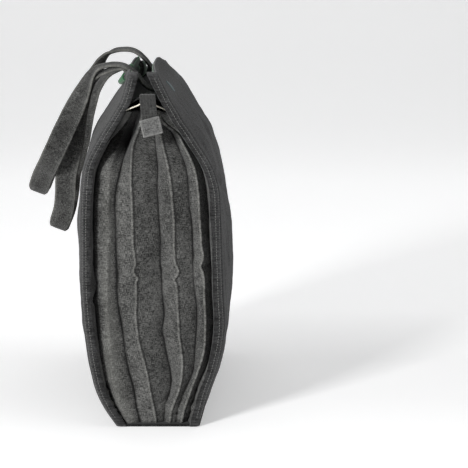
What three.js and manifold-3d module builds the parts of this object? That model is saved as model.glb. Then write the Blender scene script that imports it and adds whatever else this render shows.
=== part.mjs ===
// Accordion bag: two tall cloth panels, pleated ends, a sunken zipped top and two strap handles.
// Millimetres. +Z is up, +Y runs from the front end to the back end, +X is the bag's right side.
// The origin is the middle of the underside of the base, on the floor.
import * as THREE from 'three';
import Module from 'manifold-3d';
import { mergeVertices } from 'three/addons/utils/BufferGeometryUtils.js';

const wasm = await Module();
wasm.setup();

// Driving sizes
const bagHeight = 377;
const bagLength = 400;
const bagWidth = 154; // across the panels at the two ends
const panelWall = 2.6;
const liningWall = 1.2;
const liningBottom = 0.91; // as a share of bagHeight
const gussetWall = 1.6;
const baseWall = 3;
const clearance = 0.3;

const cornerRadius = 4.5; // where a panel turns in at its ends
const cornerLap = 4.5; // flat hem past the corner, stitched to the gusset
const pleatDepth = 26;
const pleatEdge = 1.8; // stitched edge along each fold
const flapReach = 15; // shoulder flaps of the gusset beside the wire

const roofWall = 1.6;
const roofRise = 18; // from the sides up to the zip, at the two ends
const roofSag = 10; // how far the middle of the roof hangs below its ends
const zipCentre = -7;
const zipWidth = 16;
const zipWall = 1.4;
const zipSlot = 5; // between the two roof strips, under the zip
const tailDrop = 26;
const tailReach = 19; // how far the zip's tail stands out past the front end
const tailDrift = 3.5; // to the right on its way down
const tabLength = 17;
const tabWidth = 20;
const tabWall = 2.4;
const tabLap = 3.5; // of the tab over the end of the tape
const tabLean = 14; // degrees

const wireDiameter = 1.7;
const wireRise = 12;
const wireTuck = 9; // how far each end runs down behind a flap

const strapWidth = 22;
const strapWall = 3;
const handleSpacing = 210; // between the two ends of one handle
const rightHandleReach = 141; // how far the end of the loop lies left of the bag's middle
const leftHandleReach = 117.5;
const rightHandleRise = 2; // of the back leg's arch above the course, and of the front leg's below
const leftHandleRise = -3;
const foldRadius = 12; // of the turn at the end of a handle's loop
const lobeWidth = 52; // stretch of top edge that a strap pulls outward
const lobeReach = 11;
const lobeDrop = 15.5;
const backSag = 13; // how far the top edge slumps at its back end
const backTaper = 5; // how far each panel leans in below its shoulder, at the back end

const slitLength = 13;
const slitWidth = 1.6;
const slitInset = 23; // from the end plane

// Sections of the body. height is a share of bagHeight. The rest are shares of half of bagWidth,
// from the middle plane to the panel wall, at the ends and at the middle of the length.
const sections = [
  { height: 0.0, leftEnd: 0.525, leftMiddle: 0.525, rightEnd: 0.584, rightMiddle: 0.584 },
  { height: 0.05, leftEnd: 0.69, leftMiddle: 0.76, rightEnd: 0.65, rightMiddle: 0.71 },
  { height: 0.1, leftEnd: 0.805, leftMiddle: 0.92, rightEnd: 0.714, rightMiddle: 0.8 },
  { height: 0.16, leftEnd: 0.88, leftMiddle: 0.985, rightEnd: 0.818, rightMiddle: 0.915 },
  { height: 0.27, leftEnd: 0.958, leftMiddle: 1.1, rightEnd: 0.93, rightMiddle: 1.005 },
  { height: 0.38, leftEnd: 0.998, leftMiddle: 1.14, rightEnd: 0.916, rightMiddle: 1.04 },
  { height: 0.5, leftEnd: 1.0, leftMiddle: 1.145, rightEnd: 0.896, rightMiddle: 1.02 },
  { height: 0.6, leftEnd: 0.995, leftMiddle: 1.14, rightEnd: 0.883, rightMiddle: 0.945 },
  { height: 0.68, leftEnd: 0.975, leftMiddle: 1.09, rightEnd: 0.857, rightMiddle: 0.87 },
  { height: 0.74, leftEnd: 0.935, leftMiddle: 1.01, rightEnd: 0.76, rightMiddle: 0.795 },
  { height: 0.8, leftEnd: 0.792, leftMiddle: 0.93, rightEnd: 0.578, rightMiddle: 0.69 },
  { height: 0.835, leftEnd: 0.69, leftMiddle: 0.85, rightEnd: 0.47, rightMiddle: 0.58 },
  { height: 0.86, leftEnd: 0.61, leftMiddle: 0.77, rightEnd: 0.383, rightMiddle: 0.48 },
  { height: 0.89, leftEnd: 0.52, leftMiddle: 0.67, rightEnd: 0.3, rightMiddle: 0.37 },
  { height: 0.91, leftEnd: 0.46, leftMiddle: 0.6, rightEnd: 0.24, rightMiddle: 0.28 },
  { height: 0.955, leftEnd: 0.383, leftMiddle: 0.475, rightEnd: 0.13, rightMiddle: 0.16 },
  { height: 1.0, leftEnd: 0.334, leftMiddle: 0.39, rightEnd: 0.026, rightMiddle: -0.075 },
];

// Folds of a gusset, one row for each of the first sections. v is a valley and r a ridge, as a
// share of half of bagWidth from the middle plane. crest and valley are how deep the ridges and
// valleys lie behind the end plane, and soft is that of the unstitched ridge r1, in pleat depths.
// flapLeft and flapRight are how far the shoulder flaps reach inward, in flap reaches.
const folds = [
  { v0: -0.42, r1: -0.35, v1: -0.22, r2: 0.0, v2: 0.1, r3: 0.18, v3: 0.26, r4: 0.34, v4: 0.43,
    crest: 0.3, valley: 0.6, soft: 0.3, flapLeft: 0, flapRight: 0 },
  { v0: -0.585, r1: -0.48, v1: -0.27, r2: -0.03, v2: 0.13, r3: 0.22, v3: 0.31, r4: 0.39, v4: 0.5,
    crest: 0.14, valley: 0.8, soft: 0.25, flapLeft: 0, flapRight: 0 },
  { v0: -0.675, r1: -0.55, v1: -0.31, r2: -0.08, v2: 0.19, r3: 0.31, v3: 0.41, r4: 0.48, v4: 0.58,
    crest: 0.12, valley: 0.95, soft: 0.28, flapLeft: 0, flapRight: 0 },
  { v0: -0.75, r1: -0.61, v1: -0.39, r2: -0.14, v2: 0.17, r3: 0.365, v3: 0.51, r4: 0.585, v4: 0.7,
    crest: 0.12, valley: 1.0, soft: 0.3, flapLeft: 0, flapRight: 0 },
  { v0: -0.82, r1: -0.64, v1: -0.48, r2: -0.25, v2: 0.1, r3: 0.33, v3: 0.56, r4: 0.69, v4: 0.8,
    crest: 0.1, valley: 1.0, soft: 0.32, flapLeft: 0, flapRight: 0 },
  { v0: -0.86, r1: -0.66, v1: -0.53, r2: -0.265, v2: 0.09, r3: 0.3, v3: 0.545, r4: 0.675, v4: 0.785,
    crest: 0.1, valley: 1.0, soft: 0.32, flapLeft: 0, flapRight: 0 },
  { v0: -0.865, r1: -0.65, v1: -0.55, r2: -0.285, v2: 0.07, r3: 0.27, v3: 0.513, r4: 0.625, v4: 0.76,
    crest: 0.1, valley: 1.0, soft: 0.34, flapLeft: 0, flapRight: 0 },
  { v0: -0.86, r1: -0.64, v1: -0.55, r2: -0.3, v2: 0.058, r3: 0.245, v3: 0.487, r4: 0.605, v4: 0.74,
    crest: 0.1, valley: 1.0, soft: 0.38, flapLeft: 0, flapRight: 0 },
  { v0: -0.84, r1: -0.62, v1: -0.52, r2: -0.33, v2: 0.026, r3: 0.214, v3: 0.455, r4: 0.58, v4: 0.71,
    crest: 0.12, valley: 1.0, soft: 0.46, flapLeft: 0, flapRight: 0 },
  { v0: -0.79, r1: -0.6, v1: -0.455, r2: -0.33, v2: 0.023, r3: 0.18, v3: 0.41, r4: 0.52, v4: 0.63,
    crest: 0.14, valley: 1.0, soft: 0.6, flapLeft: 0, flapRight: 0 },
  { v0: -0.66, r1: -0.5, v1: -0.36, r2: -0.27, v2: 0.02, r3: 0.12, v3: 0.29, r4: 0.38, v4: 0.46,
    crest: 0.18, valley: 1.0, soft: 0.75, flapLeft: 0, flapRight: 0 },
  { v0: -0.56, r1: -0.43, v1: -0.31, r2: -0.21, v2: 0.0, r3: 0.08, v3: 0.2, r4: 0.275, v4: 0.36,
    crest: 0.24, valley: 1.0, soft: 0.8, flapLeft: 0.33, flapRight: 0.04 },
  { v0: -0.48, r1: -0.37, v1: -0.28, r2: -0.18, v2: -0.06, r3: 0.02, v3: 0.07, r4: 0.115, v4: 0.26,
    crest: 0.34, valley: 1.0, soft: 0.8, flapLeft: 0.45, flapRight: 0.43 },
  { v0: -0.39, r1: -0.29, v1: -0.22, r2: -0.145, v2: -0.085, r3: -0.025, v3: 0.025, r4: 0.08, v4: 0.21,
    crest: 0.55, valley: 1.05, soft: 0.75, flapLeft: 0.45, flapRight: 0.55 },
];

// Course of the strap of each handle, from the top edge to the end of the loop. spread is a share
// of half of handleSpacing, reach a share of the handle's reach to the left, height a share of
// bagHeight, and turn the angle in degrees of the strap's width, from lengthwise to crosswise.
const rightHandleCourse = [
  { spread: 1.0, reach: 0.035, height: 0.942, turn: 0 },
  { spread: 1.0, reach: 0.1, height: 0.956, turn: 0 },
  { spread: 1.0, reach: 0.15, height: 0.98, turn: 0 },
  { spread: 1.0, reach: 0.2, height: 0.997, turn: 0 },
  { spread: 1.0, reach: 0.26, height: 1.009, turn: 0 },
  { spread: 1.0, reach: 0.33, height: 1.012, turn: 0 },
  { spread: 1.0, reach: 0.4, height: 1.009, turn: 0 },
  { spread: 0.99, reach: 0.462, height: 1.0, turn: 8 },
  { spread: 0.97, reach: 0.51, height: 0.981, turn: 20 },
  { spread: 0.945, reach: 0.552, height: 0.953, turn: 36 },
  { spread: 0.93, reach: 0.6, height: 0.916, turn: 55 },
  { spread: 0.89, reach: 0.664, height: 0.867, turn: 72 },
  { spread: 0.81, reach: 0.739, height: 0.811, turn: 82 },
  { spread: 0.69, reach: 0.811, height: 0.755, turn: 87 },
  { spread: 0.5, reach: 0.884, height: 0.701, turn: 90 },
  { spread: 0.24, reach: 0.953, height: 0.651, turn: 90 },
];
const leftHandleCourse = [
  { spread: 1.0, reach: 0.31, height: 0.9775, turn: 0 },
  { spread: 1.0, reach: 0.383, height: 0.976, turn: 0 },
  { spread: 1.0, reach: 0.46, height: 0.969, turn: 0 },
  { spread: 0.91, reach: 0.545, height: 0.955, turn: 4 },
  { spread: 0.81, reach: 0.612, height: 0.935, turn: 8 },
  { spread: 0.74, reach: 0.665, height: 0.912, turn: 20 },
  { spread: 0.69, reach: 0.715, height: 0.882, turn: 38 },
  { spread: 0.63, reach: 0.757, height: 0.846, turn: 52 },
  { spread: 0.57, reach: 0.79, height: 0.803, turn: 63 },
  { spread: 0.5, reach: 0.82, height: 0.753, turn: 72 },
  { spread: 0.42, reach: 0.862, height: 0.705, turn: 78 },
  { spread: 0.33, reach: 0.903, height: 0.651, turn: 82 },
  { spread: 0.23, reach: 0.919, height: 0.592, turn: 86 },
  { spread: 0.13, reach: 0.952, height: 0.54, turn: 90 },
];

// Values that follow
const halfWidth = bagWidth / 2;
const halfLength = bagLength / 2;
const liningOffset = panelWall / 2 + clearance + liningWall / 2;
const strapOffset = liningOffset + liningWall / 2 + clearance + strapWall / 2;
const hemDepth = panelWall / 2 + clearance + gussetWall / 2; // of the gusset's hem behind the end plane
const flange = cornerRadius + cornerLap;
const attachSpread = handleSpacing / 2;
const wireDepth = hemDepth + gussetWall / 2 + clearance + wireDiameter / 2;
const roofInset = wireDepth + wireDiameter / 2 + clearance;
const roofSideHeight = sections[folds.length - 1].height * bagHeight; // level with the gussets' tops
const roofTop = roofSideHeight + roofRise;
const roofStations = [-1, -0.75, -0.5, -0.25, 0, 0.25, 0.5, 0.75, 1];
const straight = halfLength - cornerRadius;
const left = { sign: -1, end: 'leftEnd', middle: 'leftMiddle', lobe: 1 };
const right = { sign: 1, end: 'rightEnd', middle: 'rightMiddle', lobe: 0 };

const vec = (x, y, z) => new THREE.Vector3(x, y, z);
const mix = THREE.MathUtils.lerp;
const radians = THREE.MathUtils.degToRad;

// Places along the length of a panel between its corners, closer together where straps pull on it
const outerStations = [0.4, 0.75, 1].map((part) => mix(straight, attachSpread, part));
const innerStations = [0.25, 0.5].map((part) => mix(attachSpread, 0, part));
const halfStations = [...outerStations, ...innerStations];
const panelStations = [...halfStations.map((y) => -y), 0, ...halfStations.reverse()];

// Value of a column of a table at a height share, straight between its rows
function atHeight(table, column, share) {
  const above = table.findIndex((row) => row.height > share);
  const low = table.at(above < 0 ? -2 : Math.max(0, above - 1));
  const high = table[table.indexOf(low) + 1];
  const part = THREE.MathUtils.clamp((share - low.height) / (high.height - low.height), 0, 1);
  return mix(low[column], high[column], part);
}

// How much of the back end's slump and taper a place y along the bag has, from 0 to 1
function towardBack(y) {
  return THREE.MathUtils.smoothstep(y, 0.15 * halfLength, halfLength);
}

// Distance of a panel's wall from the middle plane at a place y along the bag
function wallDistance(side, y, share) {
  const swell = 1 - (y / halfLength) ** 2;
  const end = atHeight(sections, side.end, share);
  const middle = atHeight(sections, side.middle, share);
  const tapered = THREE.MathUtils.smoothstep(share, 0.58, 0.7) - THREE.MathUtils.smoothstep(share, 0.8, 0.87);
  return halfWidth * mix(end, middle, swell) - backTaper * towardBack(y) * tapered;
}

// How strongly a strap pulls on the top edge at a place y along the bag, from 0 to 1
function pull(y) {
  const off = (Math.abs(y) - attachSpread) / (lobeWidth / 2);
  return Math.exp(-off * off);
}

// Point of a panel's wall. The last two sections carry the lobes of the left panel's top edge.
function wallPoint(side, y, share) {
  const across = wallDistance(side, y, share);
  const lobe = side.lobe * pull(y);
  const tip = THREE.MathUtils.smoothstep(share, 0.955, 1);
  const neck = THREE.MathUtils.smoothstep(share, 0.91, 0.955) * (1 - tip);
  const outward = lobe * (tip * lobeReach - neck * lobeReach / 4);
  const upward = lobe * (neck * lobeDrop / 3 - tip * lobeDrop);
  const lowered = backSag * towardBack(y) * THREE.MathUtils.smoothstep(share, 0.9, 1);
  return vec(side.sign * (across + outward), y, share * bagHeight + upward - lowered);
}

// Rows of points of a panel, from the floor up. Each row runs from the front hem to the back hem.
function panelRows(side) {
  const corner = [0, 45, 90];
  return sections.map(({ height }) => {
    const row = [];
    const addEnd = (end) => {
      const edge = wallPoint(side, end * halfLength, height);
      const points = corner.map((angle) => {
        const inward = cornerRadius * (1 - Math.sin(radians(angle)));
        const outward = cornerRadius * (1 - Math.cos(radians(angle)));
        return vec(edge.x - side.sign * inward, end * (halfLength - outward), edge.z);
      });
      const hem = vec(edge.x - side.sign * flange, end * halfLength, edge.z);
      return [hem, ...points];
    };
    row.push(...addEnd(-1));
    panelStations.forEach((y) => row.push(wallPoint(side, y, height)));
    row.push(...addEnd(1).reverse());
    return row;
  });
}

// Unit normals of a grid of points, on the side that rows cross columns points to
function gridNormals(rows) {
  return rows.map((row, i) => row.map((_, j) => {
    const up = vec().subVectors(rows[Math.min(i + 1, rows.length - 1)][j], rows[Math.max(i - 1, 0)][j]);
    const next = row[Math.min(j + 1, row.length - 1)];
    const along = vec().subVectors(next, row[Math.max(j - 1, 0)]);
    return up.cross(along).normalize();
  }));
}

function offsetRows(rows, normals, distance) {
  return rows.map((row, i) => row.map((point, j) => point.clone().addScaledVector(normals[i][j], distance)));
}

// Closed solid between two grids of points that face each other
function solidBetween(front, back) {
  const rows = front.length;
  const columns = front[0].length;
  const positions = [];
  [...front.flat(), ...back.flat()].forEach((point) => positions.push(point.x, point.y, point.z));
  const index = [];
  const at = (layer, i, j) => layer * rows * columns + i * columns + j;
  const quad = (a, b, c, d) => index.push(a, b, c, a, c, d);
  for (let i = 0; i < rows - 1; i += 1) {
    for (let j = 0; j < columns - 1; j += 1) {
      quad(at(0, i, j), at(0, i + 1, j), at(0, i + 1, j + 1), at(0, i, j + 1));
      quad(at(1, i, j), at(1, i, j + 1), at(1, i + 1, j + 1), at(1, i + 1, j));
    }
    quad(at(0, i, 0), at(1, i, 0), at(1, i + 1, 0), at(0, i + 1, 0));
    quad(at(0, i + 1, columns - 1), at(1, i + 1, columns - 1), at(1, i, columns - 1), at(0, i, columns - 1));
  }
  for (let j = 0; j < columns - 1; j += 1) {
    quad(at(0, 0, j + 1), at(1, 0, j + 1), at(1, 0, j), at(0, 0, j));
    quad(at(0, rows - 1, j), at(1, rows - 1, j), at(1, rows - 1, j + 1), at(0, rows - 1, j + 1));
  }
  const geometry = new THREE.BufferGeometry();
  geometry.setAttribute('position', new THREE.Float32BufferAttribute(positions, 3));
  geometry.setIndex(index);
  return facingOut(geometry);
}

// Turns a closed geometry's faces outward
function facingOut(geometry) {
  const position = geometry.getAttribute('position');
  const index = geometry.getIndex();
  const corner = (k) => vec().fromBufferAttribute(position, index.getX(k));
  let volume = 0;
  for (let k = 0; k < index.count; k += 3) {
    volume += corner(k).dot(corner(k + 1).cross(corner(k + 2)));
  }
  if (volume < 0) {
    for (let k = 0; k < index.count; k += 3) {
      const first = index.getX(k);
      index.setX(k, index.getX(k + 1));
      index.setX(k + 1, first);
    }
  }
  geometry.computeVertexNormals();
  return geometry;
}

function toManifold(geometry) {
  const bare = new THREE.BufferGeometry();
  bare.setAttribute('position', geometry.getAttribute('position').clone());
  bare.setIndex(geometry.getIndex());
  const merged = mergeVertices(bare, 1e-4);
  return new wasm.Manifold(new wasm.Mesh({
    numProp: 3,
    vertProperties: new Float32Array(merged.getAttribute('position').array),
    triVerts: new Uint32Array(merged.getIndex().array),
  }));
}

function cutBy(geometry, cutters) {
  let solid = toManifold(geometry);
  cutters.forEach((cutter) => {
    solid = solid.subtract(toManifold(cutter));
  });
  const mesh = solid.getMesh();
  const result = new THREE.BufferGeometry();
  result.setAttribute('position', new THREE.Float32BufferAttribute(mesh.vertProperties, 3));
  result.setIndex(Array.from(mesh.triVerts));
  result.computeVertexNormals();
  return result;
}

// Panels and their lining, which shares the panel's grid
function panelGrid(side) {
  const rows = panelRows(side);
  const normals = gridNormals(rows);
  normals[0].forEach((normal) => normal.setZ(0).normalize());
  const outwardX = normals[4][6].x * side.sign; // any point away from the hems
  if (outwardX < 0) {
    normals.flat().forEach((normal) => normal.negate());
  }
  return { rows, normals };
}

// Cutting block for a slit that runs down the panel, at a height share of its middle
function slitBlock(side, share) {
  const block = new THREE.BoxGeometry(8 * panelWall, slitWidth, slitLength);
  const middle = wallPoint(side, slitInset - halfLength, share);
  const above = wallPoint(side, slitInset - halfLength, share + 0.02);
  block.rotateY(Math.atan2(above.x - middle.x, above.z - middle.z));
  block.translate(middle.x, middle.y, middle.z);
  return block;
}

function panel(side, slits) {
  const { rows, normals } = panelGrid(side);
  const outer = offsetRows(rows, normals, panelWall / 2);
  const inner = offsetRows(rows, normals, -panelWall / 2);
  return cutBy(solidBetween(outer, inner), slits.map((share) => slitBlock(side, share)));
}

function lining(side) {
  const { rows, normals } = panelGrid(side);
  const first = sections.findIndex(({ height }) => height >= liningBottom);
  const crop = (grid) => grid.slice(first).map((row) => row.slice(3, -3));
  const outer = crop(offsetRows(rows, normals, -liningOffset + liningWall / 2));
  const inner = crop(offsetRows(rows, normals, -liningOffset - liningWall / 2));
  return solidBetween(outer, inner);
}

// Base, between the two panels and behind the hems of their ends, with its corners rounded to
// follow the panels
function base() {
  const reachLeft = halfWidth * sections[0].leftEnd - panelWall / 2 - clearance;
  const reachRight = halfWidth * sections[0].rightEnd - panelWall / 2 - clearance;
  const reach = halfLength - panelWall / 2 - clearance;
  const round = cornerRadius;
  const outline = new THREE.Shape();
  outline.moveTo(-reachLeft, round - reach);
  outline.lineTo(-reachLeft, reach - round);
  outline.absarc(round - reachLeft, reach - round, round, Math.PI, Math.PI / 2, true);
  outline.absarc(reachRight - round, reach - round, round, Math.PI / 2, 0, true);
  outline.absarc(reachRight - round, round - reach, round, 0, -Math.PI / 2, true);
  outline.absarc(round - reachLeft, round - reach, round, -Math.PI / 2, -Math.PI, true);
  return new THREE.ExtrudeGeometry(outline, { depth: baseWall, bevelEnabled: false, curveSegments: 3 });
}

// One section of a gusset, as points in the plane of the floor. depth is measured inward from the
// end plane. Each fold has the two edges of its stitched crest or valley.
function gussetSection(row, share, end) {
  const leftHem = -wallDistance(left, end * halfLength, share) + flange;
  const rightHem = wallDistance(right, end * halfLength, share) - flange;
  const lapStart = cornerLap - clearance;
  const points = [];
  const add = (x, depth) => points.push({ x, depth });
  const addFold = (x, depth) => {
    add(x - pleatEdge / 2, depth);
    add(x + pleatEdge / 2, depth);
  };
  add(leftHem - lapStart, hemDepth);
  add(leftHem + row.flapLeft * flapReach, hemDepth);
  addFold(row.v0 * halfWidth, row.valley * pleatDepth);
  addFold(row.r1 * halfWidth, row.soft * pleatDepth);
  addFold(row.v1 * halfWidth, row.valley * pleatDepth);
  addFold(row.r2 * halfWidth, row.crest * pleatDepth);
  addFold(row.v2 * halfWidth, row.valley * pleatDepth);
  addFold(row.r3 * halfWidth, row.crest * pleatDepth);
  addFold(row.v3 * halfWidth, row.valley * pleatDepth);
  addFold(row.r4 * halfWidth, row.crest * pleatDepth);
  addFold(row.v4 * halfWidth, row.valley * pleatDepth);
  add(rightHem - row.flapRight * flapReach, hemDepth);
  add(rightHem + lapStart, hemDepth);
  return points;
}

// Moves a section sideways by a distance, with mitred corners
function offsetSection(points, distance) {
  const steepest = 2.2; // longest miter, in distances
  return points.map((point, k) => {
    const before = points[Math.max(k - 1, 0)];
    const after = points[Math.min(k + 1, points.length - 1)];
    const one = new THREE.Vector2(point.x - before.x, point.depth - before.depth);
    const two = new THREE.Vector2(after.x - point.x, after.depth - point.depth);
    if (k === 0) one.copy(two);
    if (k === points.length - 1) two.copy(one);
    one.normalize();
    two.normalize();
    const middle = one.clone().add(two).normalize();
    const miter = Math.min(steepest, 1 / Math.max(middle.dot(one), 1 / steepest));
    return { x: point.x - middle.y * distance * miter, depth: point.depth + middle.x * distance * miter };
  });
}

// Gusset of one end. end is -1 for the front and 1 for the back.
function gusset(end) {
  const lowest = baseWall + clearance;
  const rowsAt = (distance) => folds.map((row, i) => {
    const share = sections[i].height;
    const z = Math.max(share * bagHeight, lowest);
    const section = offsetSection(gussetSection(row, share, end), distance);
    return section.map(({ x, depth }) => vec(x, end * (halfLength - depth), z));
  });
  return solidBetween(rowsAt(-gussetWall / 2), rowsAt(gussetWall / 2));
}

// Height of the zip's underside along the bag, and of the roof's sides, which sag with it
function roofDrop(y) {
  return roofSag * (1 - (y / halfLength) ** 2);
}

// One half of the roof, from the panel's inner face up to the zip
function roofStrip(side) {
  const ridge = roofTop - zipWall / 2 - clearance - roofWall / 2;
  const slot = zipCentre + side.sign * zipSlot / 2;
  const lap = zipCentre + side.sign * zipWidth / 2;
  const reach = halfLength - roofInset;
  const rows = roofStations.map((along) => {
    const y = along * reach;
    const wall = wallPoint(side, y, (roofSideHeight - roofDrop(y) / 2) / bagHeight);
    const edge = wall.x - side.sign * (panelWall + clearance + roofWall / 2);
    const low = wall.z;
    const high = ridge - roofDrop(y);
    return [
      vec(edge, y, low - roofWall * 3),
      vec(edge, y, low),
      vec(mix(edge, lap, 0.5), y, mix(low, high, 0.55)),
      vec(lap, y, high),
      vec(slot, y, high),
    ];
  });
  const normals = gridNormals(rows);
  return solidBetween(offsetRows(rows, normals, roofWall / 2), offsetRows(rows, normals, -roofWall / 2));
}

// Strip of rectangular section along a course of points, each with the direction of its width
function strip(points, widths, width, wall) {
  const top = [];
  const bottom = [];
  points.forEach((point, k) => {
    const before = points[Math.max(k - 1, 0)];
    const after = points[Math.min(k + 1, points.length - 1)];
    const along = vec().subVectors(after, before).normalize();
    const across = widths[k].clone().addScaledVector(along, -along.dot(widths[k])).normalize();
    const face = vec().crossVectors(along, across).normalize();
    const edge = (half, depth) => point.clone().addScaledVector(across, half).addScaledVector(face, depth);
    top.push([edge(-width / 2, wall / 2), edge(width / 2, wall / 2)]);
    bottom.push([edge(-width / 2, -wall / 2), edge(width / 2, -wall / 2)]);
  });
  return solidBetween(top, bottom);
}

// Zip: a flat tape along the ridge of the roof, whose tail hangs over the front end
function tailCourse() {
  const steps = [
    { out: 0, down: 0 },
    { out: 0.2, down: 0.06 },
    { out: 0.6, down: 0.26 },
    { out: 0.9, down: 0.6 },
    { out: 1, down: 1 },
  ];
  const hanging = steps.map(({ out, down }) => (
    vec(zipCentre + tailDrift * down, -halfLength - tailReach * out, roofTop - tailDrop * down)
  ));
  return [vec(zipCentre, roofInset - halfLength, roofTop), ...hanging];
}

function zipTape() {
  const reach = halfLength - roofInset;
  const ridge = roofStations.slice(1).reverse().map((along) => {
    const y = along * reach;
    return vec(zipCentre, y, roofTop - roofDrop(y));
  });
  const points = [...ridge, ...tailCourse()];
  return strip(points, points.map(() => vec(1, 0, 0)), zipWidth, zipWall);
}

// Tab: a folded cloth end in front of the tape's own, hanging askew
function zipTab() {
  const [before, tail] = tailCourse().slice(-2);
  const lean = radians(tabLean);
  const drop = before.z - tail.z;
  const outward = (tail.y - before.y) / drop;
  const slope = vec(Math.sin(lean), outward * Math.cos(lean), -Math.cos(lean)).normalize();
  const start = tail.clone().add(vec(0, -(zipWall + tabWall) / 2 - 2 * clearance, 0));
  start.addScaledVector(slope, -tabLap);
  const points = [0, 0.5, 1].map((part) => start.clone().addScaledVector(slope, part * tabLength));
  const widths = points.map(() => vec(Math.cos(lean), 0, Math.sin(lean)));
  return strip(points, widths, tabWidth, tabWall);
}

// Wire that holds up one end of the roof: a low arch whose ends run down behind the flaps
function wire(end) {
  const y = end * (halfLength - wireDepth);
  const foot = roofSideHeight - wireTuck;
  const share = foot / bagHeight;
  const room = flange - 1.5 * wireDiameter;
  const from = -wallDistance(left, y, share) + room;
  const to = wallDistance(right, y, share) - room;
  const shoulder = roofSideHeight - clearance;
  const shoulderShare = shoulder / bagHeight;
  const leftShoulder = -wallDistance(left, y, shoulderShare) + room + wireDiameter;
  const rightShoulder = wallDistance(right, y, shoulderShare) - room - wireDiameter;
  const path = new THREE.CatmullRomCurve3([
    vec(from, y, foot),
    vec(leftShoulder, y, shoulder),
    vec(mix(leftShoulder, zipCentre, 0.6), y, shoulder + wireRise * 0.62),
    vec(zipCentre, y, shoulder + wireRise),
    vec(mix(rightShoulder, zipCentre, 0.6), y, shoulder + wireRise * 0.62),
    vec(rightShoulder, y, shoulder),
    vec(to, y, foot),
  ], false, 'centripetal');
  const round = new THREE.Shape();
  round.absarc(0, 0, wireDiameter / 2, 0, 2 * Math.PI);
  return new THREE.ExtrudeGeometry(round, { steps: 26, extrudePath: path, curveSegments: 4 });
}

// Points of a strap that lies against the lining of its panel, up to the edge that it leaves over.
// On the left it bends over the lobe's neck, and on the right it leaves below the top edge.
function strapSeat(side, y) {
  const offset = strapOffset + 4 * clearance;
  const along = (share) => {
    const low = wallPoint(side, y, share - 0.005);
    const high = wallPoint(side, y, share + 0.005);
    const up = high.sub(low).normalize();
    return vec(side.sign * -Math.abs(up.z), 0, side.sign * Math.sign(up.z) * up.x);
  };
  const seat = [0.918, 0.934, 0.95].map((share) => (
    wallPoint(side, y, share).addScaledVector(along(share), offset)
  ));
  if (side === right) return seat;
  const neck = wallPoint(side, y, 0.955);
  const over = [-20, 20, 60, 95].map((angle) => (
    neck.clone().add(vec(Math.cos(radians(angle)), 0, Math.sin(radians(angle))).multiplyScalar(offset))
  ));
  return [seat[0], ...over];
}

// Handle: one strap whose two ends lie flat against the lining of its panel. The loop has flopped
// over to the left, and its end turns over in a tight fold. The right handle's strap twists to face
// left and the left handle's to face right.
function handle(side, course, reachSize, rise) {
  const half = (end) => {
    const y = end * attachSpread;
    const seat = strapSeat(side, y).map((point) => ({ point, turn: 0 }));
    const free = course.map(({ spread, reach, height, turn }) => ({
      point: vec(-reach * reachSize, y * spread, height * bagHeight + rise * end * spread),
      turn,
    }));
    return [...seat, ...free];
  };
  const last = course.at(-1);
  const turnFrom = vec(-last.reach * reachSize, 0, last.height * bagHeight);
  const down = vec(-0.35, 0, -0.94).normalize(); // the way the loop's end points
  const crosswise = vec(down.z, 0, -down.x);
  const bend = [-60, 0, 60].map((angle) => ({
    point: turnFrom.clone()
      .addScaledVector(down, foldRadius * (0.6 + Math.cos(radians(angle))))
      .add(vec(0, foldRadius * Math.sin(radians(angle)), 0)),
    turn: 90,
  }));
  const front = half(-1);
  const all = [...front, ...bend, ...half(1).reverse()];
  const widths = all.map(({ turn }, k) => {
    const sign = (k < front.length ? 1 : -1) * side.sign;
    const angle = radians(turn);
    return vec(0, sign * Math.cos(angle), 0).addScaledVector(crosswise, Math.sin(angle));
  });
  return strip(all.map(({ point }) => point), widths, strapWidth, strapWall);
}

// Materials
const cloth = new THREE.MeshStandardMaterial({ color: 0x4a4a4c, roughness: 0.95, metalness: 0 });
const pleatCloth = new THREE.MeshStandardMaterial({ color: 0x55544f, roughness: 0.95, metalness: 0 });
const felt = new THREE.MeshStandardMaterial({ color: 0x2f5a3c, roughness: 1, metalness: 0 });
const webbing = new THREE.MeshStandardMaterial({ color: 0x4c494c, roughness: 0.9, metalness: 0 });
const tabCloth = new THREE.MeshStandardMaterial({ color: 0x6c6a66, roughness: 0.95, metalness: 0 });
const steel = new THREE.MeshStandardMaterial({ color: 0xd2cdbc, roughness: 0.35, metalness: 1 });

const bag = new THREE.Group();
function add(name, geometry, material) {
  const mesh = new THREE.Mesh(geometry, material);
  mesh.name = name;
  bag.add(mesh);
}

add('panel_left', panel(left, [0.925, 0.868]), cloth);
add('panel_right', panel(right, [0.95]), cloth);
add('lining_left', lining(left), felt);
add('lining_right', lining(right), felt);
add('base_panel', base(), cloth);
add('gusset_front', gusset(-1), pleatCloth);
add('gusset_back', gusset(1), pleatCloth);
add('roof_strip_left', roofStrip(left), cloth);
add('roof_strip_right', roofStrip(right), cloth);
add('zip_tape', zipTape(), webbing);
add('zip_tab', zipTab(), tabCloth);
add('wire_front', wire(-1), steel);
add('wire_back', wire(1), steel);
add('handle_right', handle(right, rightHandleCourse, rightHandleReach, rightHandleRise), cloth);
add('handle_left', handle(left, leftHandleCourse, leftHandleReach, leftHandleRise), cloth);

export default bag;
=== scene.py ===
"""Accordion bag: woven cloth walls, pleated ends, felt facings, a ribbed zip and stitched straps.

Shapes are worked out in millimetres, in the frame's own axes, and turned into metres when a mesh is made.
"""

import math

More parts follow.
